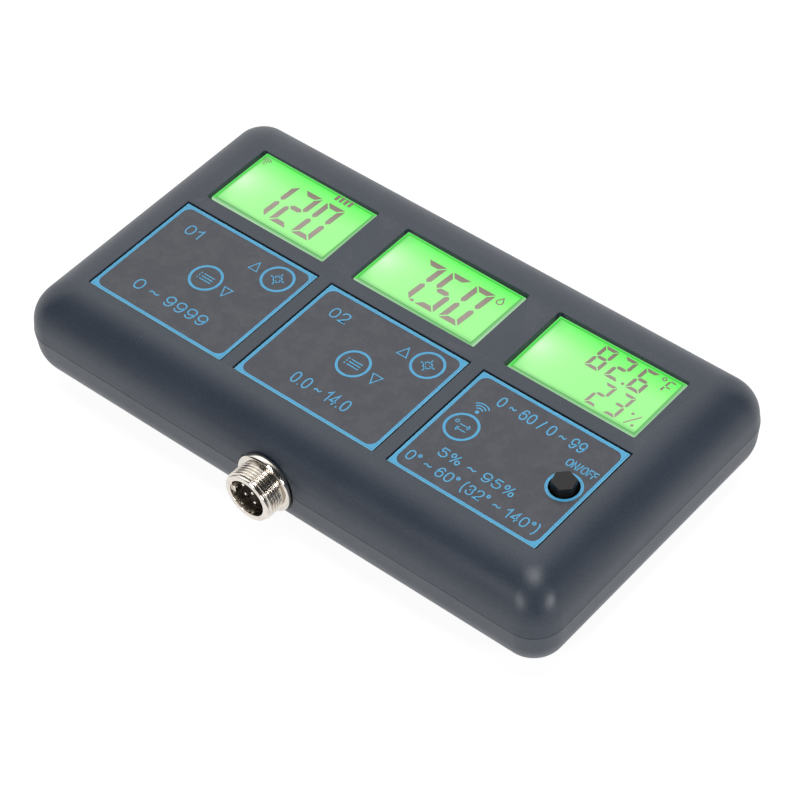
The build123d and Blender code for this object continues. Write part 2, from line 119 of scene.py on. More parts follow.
def circle_loop(cx, cy, r, z, n=56):
    return [(cx + r * cos(2 * pi * i / n), cy + r * sin(2 * pi * i / n), z) for i in range(n)]


def skin(name, loops, caps=True):
    """A closed skin over loops of equal count, capped at both ends."""
    n = len(loops[0])
    faces = []
    for k in range(len(loops) - 1):
        for i in range(n):
            j = (i + 1) % n
            faces.append((k * n + i, k * n + j, (k + 1) * n + j, (k + 1) * n + i))
    if caps:
        faces.append(tuple(reversed(range(n))))
        faces.append(tuple((len(loops) - 1) * n + i for i in range(n)))
    return mesh_of(name, [p for l in loops for p in l], faces)


def turn_to_y(ob, z):
    """Turns a solid made along +Z so that it runs along +Y about the line x 0, at height z."""
    m = Matrix.Translation((0, 0, z * MM)) @ Matrix.Rotation(radians(-90), 4, "X")
    ob.data.transform(m)
    return ob


def joined(name, obs):
    """One object from several separate solids."""
    bm = bmesh.new()
    for o in obs:
        bm.from_mesh(o.data)
    me = bpy.data.meshes.new(name)
    bm.to_mesh(me)
    bm.free()
    for o in obs:
        old = o.data
        bpy.data.objects.remove(o)
        bpy.data.meshes.remove(old)
    return link(name, me)


def apply_modifiers(ob):
    dg = bpy.context.evaluated_depsgraph_get()
    me = bpy.data.meshes.new_from_object(ob.evaluated_get(dg))
    ob.modifiers.clear()
    old, name = ob.data, ob.data.name
    ob.data = me
    bpy.data.meshes.remove(old)
    me.name = name


def boolean(ob, other, operation="DIFFERENCE"):
    m = ob.modifiers.new("boolean", "BOOLEAN")
    m.operation = operation
    m.solver = "EXACT"
    m.object = other
    apply_modifiers(ob)
    old = other.data
    bpy.data.objects.remove(other)
    bpy.data.meshes.remove(old)
    return ob


def tidy(ob):
    """Merges doubled points that a boolean leaves and drops slivers without area."""
    bm = bmesh.new()
    bm.from_mesh(ob.data)
    bmesh.ops.remove_doubles(bm, verts=bm.verts, dist=2e-6)
    bmesh.ops.dissolve_degenerate(bm, edges=bm.edges, dist=1e-6)
    bm.to_mesh(ob.data)
    bm.free()


def smooth(ob, angle=34.0, weighted=True):
    ob.data.shade_smooth()
    ob.data.set_sharp_from_angle(angle=radians(angle))
    if weighted:
        m = ob.modifiers.new("normals", "WEIGHTED_NORMAL")
        m.keep_sharp = True
        m.weight = 50
    return ob


def flared(levels_r, z_face, radius, n=4):
    """(z, grow) pairs that open a cutter out at z_face, so that the edge that it leaves is rounded."""
    out = []
    for i in range(n + 1):
        a = (pi / 2) * i / n
        out.append((z_face - radius + radius * sin(a), radius * (1 - cos(a))))
    return [(z, g) for z, g in out] + [(z_face + levels_r, radius)]


def rect_cutter(name, cx, cy, hx, hy, r, z0, z_face, edge, na=5):
    loops = [rect_loop(hx, hy, r, z0, na, 6, 4, cx, cy)]
    for z, g in flared(1.0, z_face, edge):
        loops.append(rect_loop(hx + g, hy + g, r + g, z, na, 6, 4, cx, cy))
    return skin(name, loops)


def round_cutter(name, cx, cy, r, z0, z_face, edge, n=56):
    loops = [circle_loop(cx, cy, r, z0, n)]
    for z, g in flared(1.0, z_face, edge):
        loops.append(circle_loop(cx, cy, r + g, z, n))
    return skin(name, loops)


def cylinder(name, cx, cy, r, z0, z1, n=48):
    return skin(name, [circle_loop(cx, cy, r, z0, n), circle_loop(cx, cy, r, z1, n)])


def block(name, x0, x1, y0, y1, z0, z1):
    return skin(name, [[(x0, y0, z), (x1, y0, z), (x1, y1, z), (x0, y1, z)] for z in (z0, z1)])


def hoop(name, outer, inner, z0, z1):
    """A closed frame between two loops of equal count."""
    n = len(outer)
    rows = [[(x, y, z) for x, y, _ in loop] for loop, z in ((outer, z0), (outer, z1), (inner, z1), (inner, z0))]
    faces = []
    for k in range(4):
        for i in range(n):
            j = (i + 1) % n
            faces.append((k * n + i, k * n + j, ((k + 1) % 4) * n + j, ((k + 1) % 4) * n + i))
    return mesh_of(name, [p for r in rows for p in r], faces)


def socket_cut(name):
    """The socket's hole through the wall with the flat seat round it."""
    n = 128
    return turn_to_y(skin(name, [circle_loop(0, 0, r, y, n) for r, y in
                                 ((SEAT_R, -70.0), (SEAT_R, SEAT_Y), (7.8, SEAT_Y), (7.8, -30.0))]), Z_SEAM)


# ------------------------------------------------------------------ node helpers
def tree_of(mat):
    mat.use_nodes = True
    nt = mat.node_tree
    nt.nodes.clear()
    return nt


def add(nt, kind, **values):
    n = nt.nodes.new(kind)
    for k, v in values.items():
        setattr(n, k, v)
    return n


def wire(nt, a, b):
    nt.links.new(a, b)


def noise(nt, vector, scale, detail=2.0, rough=0.5):
    n = add(nt, "ShaderNodeTexNoise")
    n.inputs["Scale"].default_value = scale
    n.inputs["Detail"].default_value = detail
    n.inputs["Roughness"].default_value = rough
    wire(nt, vector, n.inputs["Vector"])
    return n.outputs["Fac"]


def ranged(nt, value, a, b, c, d, smoothly=True):
    n = add(nt, "ShaderNodeMapRange", interpolation_type="SMOOTHSTEP" if smoothly else "LINEAR")
    n.inputs["From Min"].default_value = a
    n.inputs["From Max"].default_value = b
    n.inputs["To Min"].default_value = c
    n.inputs["To Max"].default_value = d
    wire(nt, value, n.inputs["Value"])
    return n.outputs["Result"]


def maths(nt, op, a, b=None, c=None):
    n = add(nt, "ShaderNodeMath", operation=op)
    for i, v in enumerate((a, b, c)):
        if v is None:
            continue
        if isinstance(v, (int, float)):
            n.inputs[i].default_value = v
        else:
            wire(nt, v, n.inputs[i])
    return n.outputs["Value"]


def mix(nt, fac, a, b, kind="MIX"):
    n = add(nt, "ShaderNodeMix", data_type="RGBA", blend_type=kind)
    if isinstance(fac, (int, float)):
        n.inputs[0].default_value = fac
    else:
        wire(nt, fac, n.inputs[0])
    for i, v in ((6, a), (7, b)):
        if isinstance(v, (tuple, list)):
            n.inputs[i].default_value = (*v[:3], 1.0)
        else:
            wire(nt, v, n.inputs[i])
    return n.outputs[2]


def lin(r, g, b):
    """Linear colour of an 8-bit display colour."""
    return tuple(((c / 255 + 0.055) / 1.055) ** 2.4 if c > 10.3 else c / 255 / 12.92 for c in (r, g, b))


def surface(name, colour, rough, metallic=0.0, spec=0.5, vary=0.08, vary_scale=40.0,
            rough_vary=0.05, bump=0.1, bump_scale=2500.0, bump_mm=0.02, wear=0.0, wear_colour=None,
            specks=0.0, speck_colour=(0.5, 0.5, 0.5), coat=0.0, lines=None, fine=0.0):
    """A procedural finish: slow colour drift, fine grain, uneven roughness, rubbed edges and dust."""
    mat = bpy.data.materials.new(name)
    nt = tree_of(mat)
    out = add(nt, "ShaderNodeOutputMaterial")
    bsdf = add(nt, "ShaderNodeBsdfPrincipled")
    wire(nt, bsdf.outputs[0], out.inputs["Surface"])
    co = add(nt, "ShaderNodeTexCoord").outputs["Object"]
    slow = noise(nt, co, vary_scale, 4.0, 0.6)
    dark = tuple(c * (1 - vary) for c in colour)
    light = tuple(min(1.0, c * (1 + vary)) for c in colour)
    col = mix(nt, ranged(nt, slow, 0.3, 0.7, 0.0, 1.0), dark, light)
    grain = noise(nt, co, bump_scale, 3.0, 0.6)
    if fine:
        col = mix(nt, ranged(nt, grain, 0.35, 0.7, 0.0, fine), col, tuple(min(1.0, c * 2.2 + 0.01) for c in colour))
    if wear:
        geo = add(nt, "ShaderNodeNewGeometry")
        edge = ranged(nt, geo.outputs["Pointiness"], 0.52, 0.60, 0.0, wear)
        patchy = ranged(nt, noise(nt, co, 220.0, 4.0, 0.7), 0.42, 0.62, 0.15, 1.0)
        col = mix(nt, maths(nt, "MULTIPLY", edge, patchy), col, wear_colour or light)
    if specks:
        vor = add(nt, "ShaderNodeTexVoronoi", feature="F1")
        vor.inputs["Scale"].default_value = 260.0
        wire(nt, co, vor.inputs["Vector"])
        near = ranged(nt, vor.outputs["Distance"], 0.03, 0.055, 1.0, 0.0)
        sep = add(nt, "ShaderNodeSeparateColor")
        wire(nt, vor.outputs["Color"], sep.inputs[0])
        few = ranged(nt, sep.outputs[0], 1.0 - specks, 1.0 - specks * 0.6, 0.0, 0.8)
        col = mix(nt, maths(nt, "MULTIPLY", near, few), col, speck_colour)
    wire(nt, col, bsdf.inputs["Base Color"])
    patch = noise(nt, co, vary_scale * 3.1, 5.0, 0.65)
    wire(nt, ranged(nt, patch, 0.25, 0.75, max(0.02, rough - rough_vary), min(1.0, rough + rough_vary)),
         bsdf.inputs["Roughness"])
    bsdf.inputs["Metallic"].default_value = metallic
    bsdf.inputs["Specular IOR Level"].default_value = spec
    if coat:
        bsdf.inputs["Coat Weight"].default_value = coat
        bsdf.inputs["Coat Roughness"].default_value = 0.2
    height = grain
    if lines:
        # turned or brushed marks: noise stretched along two axes
        mp = add(nt, "ShaderNodeMapping")
        mp.inputs["Scale"].default_value = lines
        wire(nt, co, mp.inputs["Vector"])
        height = maths(nt, "ADD", maths(nt, "MULTIPLY", noise(nt, mp.outputs["Vector"], 1.0, 3.0, 0.6), 1.4), grain)
    bp = add(nt, "ShaderNodeBump")
    bp.inputs["Strength"].default_value = bump
    bp.inputs["Distance"].default_value = bump_mm * MM
    wire(nt, height, bp.inputs["Height"])
    wire(nt, bp.outputs["Normal"], bsdf.inputs["Normal"])
    return mat, nt, bsdf, co


def finish_of(*args, **kw):
    return surface(*args, **kw)[0]


# ------------------------------------------------------------------ materials
M = {}
M["case"] = finish_of("case_plastic", (0.0195, 0.0275, 0.0420), 0.42, vary=0.06, vary_scale=22.0,
                      rough_vary=0.03, bump=0.42, bump_scale=2600.0, bump_mm=0.035, wear=0.25,
                      wear_colour=(0.075, 0.08, 0.09), specks=0.014, speck_colour=(0.36, 0.37, 0.38), fine=0.34)
M["sheet"] = finish_of("keypad_film", (0.0255, 0.0290, 0.0400), 0.40, vary=0.03, vary_scale=14.0,
                       rough_vary=0.015, bump=0.16, bump_scale=3600.0, bump_mm=0.015, wear=0.25,
                       wear_colour=(0.09, 0.09, 0.10), specks=0.006, speck_colour=(0.3, 0.3, 0.3), fine=0.22)
M["ink"] = finish_of("blue_ink", (0.055, 0.335, 0.580), 0.42, vary=0.05, vary_scale=120.0,
                     rough_vary=0.05, bump=0.15, bump_scale=5200.0, bump_mm=0.01)
M["ink_light"] = finish_of("pale_blue_ink", (0.105, 0.450, 0.660), 0.42, vary=0.05, vary_scale=120.0,
                           rough_vary=0.05, bump=0.15, bump_scale=5200.0, bump_mm=0.01)
M["cap"] = finish_of("power_cap", (0.012, 0.011, 0.011), 0.38, spec=0.25, vary=0.12, vary_scale=300.0,
                     rough_vary=0.06, bump=0.2, bump_scale=3000.0, bump_mm=0.02, wear=0.35,
                     wear_colour=(0.05, 0.046, 0.044))
M["black_plastic"] = finish_of("black_plastic", (0.014, 0.014, 0.015), 0.4, vary=0.15, vary_scale=200.0,
                               bump=0.15, wear=0.3, wear_colour=(0.05, 0.05, 0.05))
M["white_plastic"] = finish_of("white_plastic", (0.62, 0.60, 0.54), 0.45, vary=0.05, vary_scale=120.0,
                               bump=0.1, wear=0.2, wear_colour=(0.8, 0.78, 0.74))
M["board"] = finish_of("board_mask", (0.010, 0.075, 0.028), 0.34, vary=0.25, vary_scale=90.0,
                       bump=0.25, bump_scale=900.0, bump_mm=0.04, wear=0.4, wear_colour=(0.25, 0.22, 0.12), coat=0.2)
M["tinned"] = finish_of("tinned_wire", (0.62, 0.61, 0.58), 0.32, metallic=1.0, vary=0.1, vary_scale=500.0,
                        rough_vary=0.1, bump=0.2, bump_scale=5000.0)
M["screw"] = finish_of("screw_zinc", (0.30, 0.295, 0.285), 0.33, metallic=1.0, vary=0.18, vary_scale=700.0,
                       rough_vary=0.1, bump=0.3, bump_scale=3000.0, bump_mm=0.02, wear=0.7,
                       wear_colour=(0.62, 0.6, 0.56))
M["chip"] = finish_of("chip_resin", (0.020, 0.020, 0.021), 0.55, vary=0.15, vary_scale=300.0,
                      bump=0.3, bump_scale=4500.0, wear=0.2, wear_colour=(0.06, 0.06, 0.06))
M["capacitor"] = finish_of("capacitor_sleeve", (0.010, 0.014, 0.050), 0.3, vary=0.15, vary_scale=200.0,
                           bump=0.1, bump_scale=1500.0, coat=0.3)
M["can"] = finish_of("radio_can", (0.58, 0.57, 0.55), 0.30, metallic=1.0, vary=0.08, vary_scale=160.0,
                     rough_vary=0.08, bump=0.2, bump_scale=2000.0, lines=(300.0, 5000.0, 300.0))
M["gasket"] = finish_of("gasket_rubber", (0.010, 0.010, 0.011), 0.55, vary=0.2, vary_scale=200.0,
                        bump=0.3, bump_scale=2500.0)
M["boot"] = finish_of("boot_rubber", (0.013, 0.013, 0.014), 0.6, vary=0.2, vary_scale=200.0, bump=0.3, bump_scale=2500.0)
M["jacket"] = finish_of("cable_jacket", (0.030, 0.030, 0.032), 0.5, vary=0.15, vary_scale=150.0, bump=0.2, bump_scale=2500.0)
M["insulator"] = finish_of("socket_insert", (0.018, 0.011, 0.008), 0.42, vary=0.2, vary_scale=400.0,
                           rough_vary=0.08, bump=0.2, bump_scale=3500.0)
M["pin"] = finish_of("pin_silver", (0.86, 0.83, 0.78), 0.20, metallic=1.0, vary=0.06, vary_scale=900.0,
                     rough_vary=0.08, bump=0.15, bump_scale=6000.0, bump_mm=0.008)
M["nickel"] = finish_of("nickel_plate", (0.70, 0.655, 0.595), 0.15, metallic=1.0, vary=0.07, vary_scale=420.0,
                        rough_vary=0.05, bump=0.10, bump_scale=5200.0, bump_mm=0.008, wear=0.2,
                        wear_colour=(0.86, 0.82, 0.75), lines=(500.0, 9000.0, 500.0))


# ------------------------------------------------------------------ lit displays
def lit(r, g, b, less=0.04):
    """Emission that shows as this 8-bit colour once the room's reflection is on it."""
    return tuple(max(0.0, c - less) for c in lin(r, g, b))


def display_material(name, film):
    """The lit panel seen through the glass: a green field, deeper along the top, with a pale glow by the lamp at the left."""
    mat = bpy.data.materials.new(name)
    nt = tree_of(mat)
    out = add(nt, "ShaderNodeOutputMaterial")
    bsdf = add(nt, "ShaderNodeBsdfPrincipled")
    wire(nt, bsdf.outputs[0], out.inputs["Surface"])
    co = add(nt, "ShaderNodeTexCoord").outputs["Object"]
    xyz = add(nt, "ShaderNodeSeparateXYZ")
    wire(nt, co, xyz.inputs[0])
    # u, v run 0..1 across the glass
    place = add(nt, "ShaderNodeUVMap", uv_map="panel")
    wire(nt, place.outputs[0], xyz.inputs[0])
    u, v = xyz.outputs[0], xyz.outputs[1]
    wob = noise(nt, co, 70.0, 2.0)
    v2 = maths(nt, "ADD", v, maths(nt, "MULTIPLY", maths(nt, "SUBTRACT", wob, 0.5), 0.03))
    ramp = add(nt, "ShaderNodeValToRGB")
    ramp.color_ramp.interpolation = "LINEAR"
    stops = ((0.0, lit(118, 165, 118)), (0.045, lit(146, 215, 140)), (0.09, lit(166, 250, 153)),
             (0.14, lit(169, 254, 156)), (0.56, lit(169, 254, 156)), (0.70, lit(157, 254, 145)),
             (0.80, lit(140, 253, 128)), (0.88, lit(128, 253, 122)), (0.93, lit(108, 252, 103)),
             (1.0, lit(104, 224, 100)))
    el = ramp.color_ramp.elements
    el[0].position, el[0].color = stops[0][0], (*stops[0][1], 1)
    el[1].position, el[1].color = stops[-1][0], (*stops[-1][1], 1)
    for p, c in stops[1:-1]:
        e = el.new(p)
        e.color = (*c, 1)
    wire(nt, v2, ramp.inputs[0])
    col = ramp.outputs[0]
    # the left corners stay deeper than the middle of that edge
    off_mid = maths(nt, "ABSOLUTE", maths(nt, "SUBTRACT", v, 0.47))
    corner = maths(nt, "MULTIPLY", ranged(nt, u, 0.0, 0.14, 1.0, 0.0), ranged(nt, off_mid, 0.18, 0.44, 0.0, 0.75))
    col = mix(nt, corner, col, lit(112, 226, 110))
    # glow of the lamp at the left
    dx = maths(nt, "MULTIPLY", maths(nt, "SUBTRACT", u, 0.055), LCD_W)
    dy = maths(nt, "MULTIPLY", maths(nt, "SUBTRACT", v, 0.47), LCD_H)
    d2 = maths(nt, "ADD", maths(nt, "MULTIPLY", dx, dx), maths(nt, "MULTIPLY", dy, dy))
    far = maths(nt, "SQRT", maths(nt, "ADD", d2, 0.6))
    glow = maths(nt, "POWER", 2.718, maths(nt, "DIVIDE", far, -4.4))
    col = mix(nt, maths(nt, "MULTIPLY", glow, 0.56), col, lit(255, 255, 250))
    # distances in mm from the glass's four sides
    left = maths(nt, "MULTIPLY", u, LCD_W)
    right = maths(nt, "MULTIPLY", maths(nt, "SUBTRACT", 1.0, u), LCD_W)
    low = maths(nt, "MULTIPLY", v, LCD_H)
    high = maths(nt, "MULTIPLY", maths(nt, "SUBTRACT", 1.0, v), LCD_H)
    lit_side = maths(nt, "MINIMUM", right, low)
    deep_side = maths(nt, "MINIMUM", left, high)
    edge = maths(nt, "MINIMUM", lit_side, deep_side)
    if film:
        col = mix(nt, ranged(nt, left, FILM_IN, FILM_IN + 1.2, 0.50, 0.0), col, lit(84, 205, 84))
        col = mix(nt, ranged(nt, right, FILM_IN, FILM_IN + 0.9, 0.45, 0.0), col, lit(120, 195, 118))
        # a deeper line at the film's edge
        col = mix(nt, ranged(nt, edge, FILM_IN + 0.04, FILM_IN + 0.36, 0.72, 0.0), col, lit(52, 150, 56))
    else:
        # bare glass rim: deep green at the left and top, paler at the right and bottom,
        # bright where light leaks at the very edge
        col = mix(nt, maths(nt, "LESS_THAN", deep_side, lit_side), lit(136, 196, 136), lit(74, 222, 76))
        col = mix(nt, ranged(nt, edge, 0.02, 0.26, 0.85, 0.0), col, lit(188, 228, 188))
    wire(nt, col, bsdf.inputs["Emission Color"])
    bsdf.inputs["Emission Strength"].default_value = 1.0
    base = mix(nt, ranged(nt, noise(nt, co, 300.0, 3.0), 0.3, 0.7, 0.0, 1.0), (0.004, 0.020, 0.004), (0.008, 0.030, 0.008))
    wire(nt, base, bsdf.inputs["Base Color"])
    wire(nt, ranged(nt, noise(nt, co, 180.0, 4.0), 0.3, 0.7, 0.16, 0.30), bsdf.inputs["Roughness"])
    bsdf.inputs["Specular IOR Level"].default_value = 0.25
    bp = add(nt, "ShaderNodeBump")
    bp.inputs["Strength"].default_value = 0.05
    bp.inputs["Distance"].default_value = 0.01 * MM
    wire(nt, noise(nt, co, 2500.0, 2.0), bp.inputs["Height"])
    wire(nt, bp.outputs["Normal"], bsdf.inputs["Normal"])
    return mat


M["display_film"] = display_material("display_film", True)
M["display_glass"] = display_material("display_glass", False)

mat, nt, bsdf, co = surface("light_guide", (0.35, 0.80, 0.33), 0.4, vary=0.1, vary_scale=120.0, bump=0.1)
bsdf.inputs["Emission Color"].default_value = (*lin(120, 250, 110), 1)
bsdf.inputs["Emission Strength"].default_value = 0.25
M["light_guide"] = mat

# the crystal's dark segments: lit from behind, so they show grey-brown, deeper towards the top
mat, nt, bsdf, co = surface("crystal_segment", (0.03, 0.026, 0.022), 0.3, vary=0.1, vary_scale=200.0, bump=0.04)
xyz = add(nt, "ShaderNodeSeparateXYZ")
wire(nt, co, xyz.inputs[0])
up_fac = ranged(nt, xyz.outputs[1], (WIN_Y - 2) * MM, (WIN_Y + 11.0) * MM, 0.0, 1.0)
seg = mix(nt, up_fac, lit(164, 154, 144), lit(130, 120, 106))
seg = mix(nt, ranged(nt, noise(nt, co, 500.0, 2.0), 0.3, 0.7, 0.0, 0.2), seg, lit(140, 131, 121))
wire(nt, seg, bsdf.inputs["Emission Color"])
bsdf.inputs["Emission Strength"].default_value = 1.0
bsdf.inputs["Specular IOR Level"].default_value = 0.25
M["segment"] = mat

# ------------------------------------------------------------------ CAD nodes keep their shape and take a finish
FINISH = {
    "keypad_sheet_left": "sheet", "keypad_sheet_middle": "sheet", "keypad_sheet_right": "sheet",
    "tact_switches": "black_plastic", "power_switch_body": "black_plastic",
    "power_switch_plunger": "white_plastic", "signal_header": "white_plastic",
    "signal_plug": "white_plastic", "humidity_sensor": "white_plastic",
    "display_leads": "tinned", "main_board": "board", "sensor_board": "board",
    "case_screws": "screw", "board_screws": "screw",
    "controller_chips": "chip", "amplifier_chips": "chip", "voltage_regulator": "chip",
    "capacitors": "capacitor", "radio_module": "can", "connector_nut": "nickel",
    "connector_insulator": "insulator", "connector_pins": "pin", "connector_gasket": "gasket",
    "connector_boot": "boot", "signal_cable": "jacket", "sensor_lead": "jacket",
}
for side in ("left", "middle", "right"):
    FINISH["backlight_" + side] = "light_guide"
for key, _, _ in KEYS:
    FINISH[key] = "sheet"
    FINISH[key.replace("_key", "_key_stem")] = "black_plastic"
for name, finish in FINISH.items():
    o = nodes[name]
    if not o.material_slots:
        o.data.materials.append(M[finish])
    for s in o.material_slots:
        s.material = M[finish]


# ------------------------------------------------------------------ case shells
def sections_up(hx, hy, rc, z0, z1, rf, rt, n):
    de = atan(UP_DRAFT)
    zw = z1 - rf * (1 - sin(de))
    dw = UP_DRAFT * (zw - z0)
    dm = dw + rf * cos(de)
    out = [(z0, 0.0), (z0 + (zw - z0) * 0.5, dw * 0.5)]
    for i in range(n + 1):
        ph = de + (pi / 2 - de) * i / n
        out.append((z1 - rf + rf * sin(ph), dw + rf * (cos(de) - cos(ph))))
    return [(z, hx - d, hy - d, rc + (rt - rc) * d / dm) for z, d in out]


def sections_down(hx, hy, rc, z0, z1, rf, rt, n):
    de = atan(LO_DRAFT)
    zw = z1 + rf * (1 - sin(de))
    dw = LO_DRAFT * (z0 - zw)
    dm = dw + rf * cos(de)
    out = [(z0, 0.0), (z0 + (zw - z0) * 0.5, dw * 0.5)]
    for i in range(n + 1):
        ph = de + (pi / 2 - de) * i / n
        out.append((z1 + rf - rf * sin(ph), dw + rf * (cos(de) - cos(ph))))
    return [(z, hx - d, hy - d, rc + (rt - rc) * d / dm) for z, d in out]


EDGE = 0.06  # rounded lip at the seam


def lip(z0, up):
    """Levels of the small round at the seam, from the parting face outwards."""
    out = []
    for i in range(4):
        a = (pi / 2) * i / 3
        z = z0 + (EDGE * (1 - cos(a)) if up else -EDGE * (1 - cos(a)))
        g = EDGE * (1 - sin(a))
        out.append((z, 95.0 - g, 52.25 - g, 9.7 - g))
    return out


def seg_ring(levels):
    return [rect_loop(hx, hy, r, z) for z, hx, hy, r in levels]


# front cover
z0 = Z_SEAM + GAP / 2
levels = lip(z0, True) + sections_up(95.0, 52.25, 9.7, z0, Z_TOP, 12.8, 2.3, 22)[1:]
front = skin("front_shell", seg_ring(levels))

hollow = sections_up(92.8, 50.05, 7.5, z0, 31.0, 10.2, 1.6, 14)
step = 20.6
levels = [(17.0, 93.9, 51.15, 8.6), (step, 93.9, 51.15, 8.6)]
d = UP_DRAFT * (step - z0)
levels += [(step, 92.8 - d, 50.05 - d, 7.5 - d * 0.5)] + [l for l in hollow if l[0] > step + 0.05]
inner = skin("inner", seg_ring(levels))
boolean(inner, joined("stands", [cylinder("p", x, y, 3.5, z0, 40.0) for x, y in POSTS]
                      + [cylinder("b", x, y, 2.6, 24.8, 40.0) for x, y in BOSSES]
                      + [block("k", -12.5, 12.5, -60.0, -46.5, 16.0, 40.0)]))
boolean(front, inner)
boolean(front, joined("openings",
        [rect_cutter("w", x, WIN_Y + 0.15, WIN_W / 2, WIN_H / 2 + 0.15, 0.4, 27.0, Z_TOP, 0.16) for x in LABEL_X]
        + [rect_cutter("l", x + (GAP_R - GAP_L) / 2, LABEL_Y + (GAP_B - GAP_F) / 2, (LABEL_W + GAP_L + GAP_R) / 2,
                       (LABEL_H + GAP_F + GAP_B) / 2, 0.12, Z_LABEL - 0.4, Z_TOP, 0.10) for x in LABEL_X]))
# the recess is deeper along its edge, so that the sheet's outline shows as a dark line
boolean(front, joined("grooves",
        [hoop("g", rect_loop((LABEL_W + GAP_L + GAP_R) / 2 - 0.01, (LABEL_H + GAP_F + GAP_B) / 2 - 0.01, 0.12, 0, 5, 6, 4,
                             x + (GAP_R - GAP_L) / 2, LABEL_Y + (GAP_B - GAP_F) / 2),
              rect_loop(LABEL_W / 2 - 0.35, LABEL_H / 2 - 0.35, 0.12, 0, 5, 6, 4, x, LABEL_Y), 31.9, Z_LABEL - 0.2)
         for x in LABEL_X]))
boolean(front, joined("holes",
        [cylinder("h", x, y, 5.0, 27.0, 33.4, 64) for _, x, y in KEYS]
        + [cylinder("h", *POWER, 4.35, 27.0, 33.4, 64)]
        + [cylinder("h", x, y, 1.45, 17.0, 28.0, 24) for x, y in POSTS]
        + [cylinder("h", x, y, 1.1, 24.0, 30.3, 24) for x, y in BOSSES]))
boolean(front, socket_cut("bore"))
tidy(front)
smooth(front)
front.data.materials.append(M["case"])
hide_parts("front_cover")
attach(front, "case")

# rear cover
z0 = Z_SEAM - GAP / 2
levels = list(reversed(sections_down(95.0, 52.25, 9.7, z0, 0.0, 14.2, 2.3, 22)[1:])) + list(reversed(lip(z0, False)))
levels += [(z0, 93.75, 51.0, 8.45), (20.0, 93.75, 51.0, 8.45), (20.2, 93.55, 50.8, 8.25)]
rear = skin("rear_shell", seg_ring(levels))
hollow = list(reversed(sections_down(92.8, 50.05, 7.5, z0, 2.4, 11.8, 1.6, 14)))
levels = hollow + [(22.0, 92.8, 50.05, 7.5)]
inner = skin("inner", seg_ring(levels))
boolean(inner, joined("stands", [cylinder("p", x, y, 3.5, -1.0, z0) for x, y in POSTS]
                      + [block("k", -12.5, 12.5, -60.0, -46.5, 6.5, z0)]
                      + [block("g", -88.2, -84.6, y - 1.2, y + 1.2, -1.0, 12.0) for y in (-7.4, 7.4)]))
boolean(rear, inner)


def slot_cutter(name, y, z, w, h, x0, x1, edge, n=8):
    """An upright slot through the left wall, opened out a little at the outside."""
    def loop(x, g):
        r = w / 2 + g
        s = (h - w) / 2
        pts = []
        for i in range(n + 1):
            a = pi * i / n
            pts.append((x, y + r * cos(a), z + s + r * sin(a)))
        for i in range(n + 1):
            a = pi + pi * i / n
            pts.append((x, y + r * cos(a), z - s + r * sin(a)))
        return pts
    loops = [loop(x1, 0.0)]
    for i in range(4):
        a = (pi / 2) * i / 3
        loops.append(loop(x0 + edge - edge * sin(a), edge * (1 - cos(a))))
    loops.append(loop(x0 - 3.0, edge))
    return skin(name, loops)


boolean(rear, joined("openings",
        [round_cutter("w", x, y, 3.05, 6.8, 0.0, 0.0, 40) for x, y in ()]
        + [skin("w", [circle_loop(x, y, 3.05 + g, z, 48) for z, g in
                      ((-1.0, 0.3), (0.0, 0.3), (0.04, 0.18), (0.12, 0.08), (0.3, 0.0), (6.8, 0.0))]) for x, y in POSTS]
        + [block("t", -13.2, 13.2, -59.3, -45.2, z0, 24.0)]
        + [block("s", -87.05, -85.75, -7.5, 7.5, 4.0, 13.0)]
        + [slot_cutter("a", 2.6 * k, 10.3, 1.3, 7.5, -94.35, -89.0, 0.15) for k in (-2, -1, 0, 1, 2)]))
boolean(rear, joined("holes", [cylinder("h", x, y, 1.75, 6.0, 22.0, 32) for x, y in POSTS] + [socket_cut("bore")]))
tidy(rear)
smooth(rear)
rear.data.materials.append(M["case"])
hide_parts("rear_cover")
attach(rear, "case")


# ------------------------------------------------------------------ threaded socket shell
def socket_shell():
    n, pitch, root, crest = 144, 1.0, 7.45, 8.0
    y_in, y_out = -54.1, -59.34
    prof = [(-41.0, 5.95), (-41.0, 7.3), (-41.4, 7.7), (-51.95, 7.7), (-51.95, 9.25), (-51.98, 9.32), (-52.06, 9.35),
            (-53.27, 9.35), (-53.32, 9.33), (-53.61, 8.96), (-53.65, 8.88), (-53.65, 7.55), (-53.68, 7.47)]
    loops = [[(r, y)] * n for y, r in prof]
    steps = 126
    for k in range(steps + 1):
        y = y_in + (y_out - y_in) * k / steps
        fade = min(1.0, (y_in - y) / 0.25, (y - y_out) / 0.2)
        fade = max(0.0, fade)
        fade = fade * fade * (3 - 2 * fade)
        row = []
        for i in range(n):
            ph = ((-y - 54.35) / pitch - i / n) % 1.0
            if ph < 0.25:
                f = ph / 0.25
            elif ph < 0.50:
                f = 1.0
            elif ph < 0.75:
                f = (0.75 - ph) / 0.25
            else:
                f = 0.0
            f = f * f * (3 - 2 * f) * 0.25 + f * 0.75
            row.append((root + (crest - root) * f * fade, y))
        loops.append(row)
    for y, r in ((-59.38, 7.45), (-59.42, 7.54), (-59.46, 7.55), (-60.08, 7.55), (-60.16, 7.51), (-60.2, 7.43),
                 (-60.2, 6.08), (-60.15, 5.98), (-60.05, 5.95), (-53.0, 5.95)):
        loops.append([(r, y)] * n)
    verts, faces = [], []
    for row in loops:
        for i, (r, y) in enumerate(row):
            t = 2 * pi * i / n
            verts.append((r * cos(t), y, Z_SEAM + r * sin(t)))
    m = len(loops)
    for k in range(m):
        k2 = (k + 1) % m
        for i in range(n):
            j = (i + 1) % n
            faces.append((k * n + i, k * n + j, k2 * n + j, k2 * n + i))
    return mesh_of("socket_shell", verts, faces)


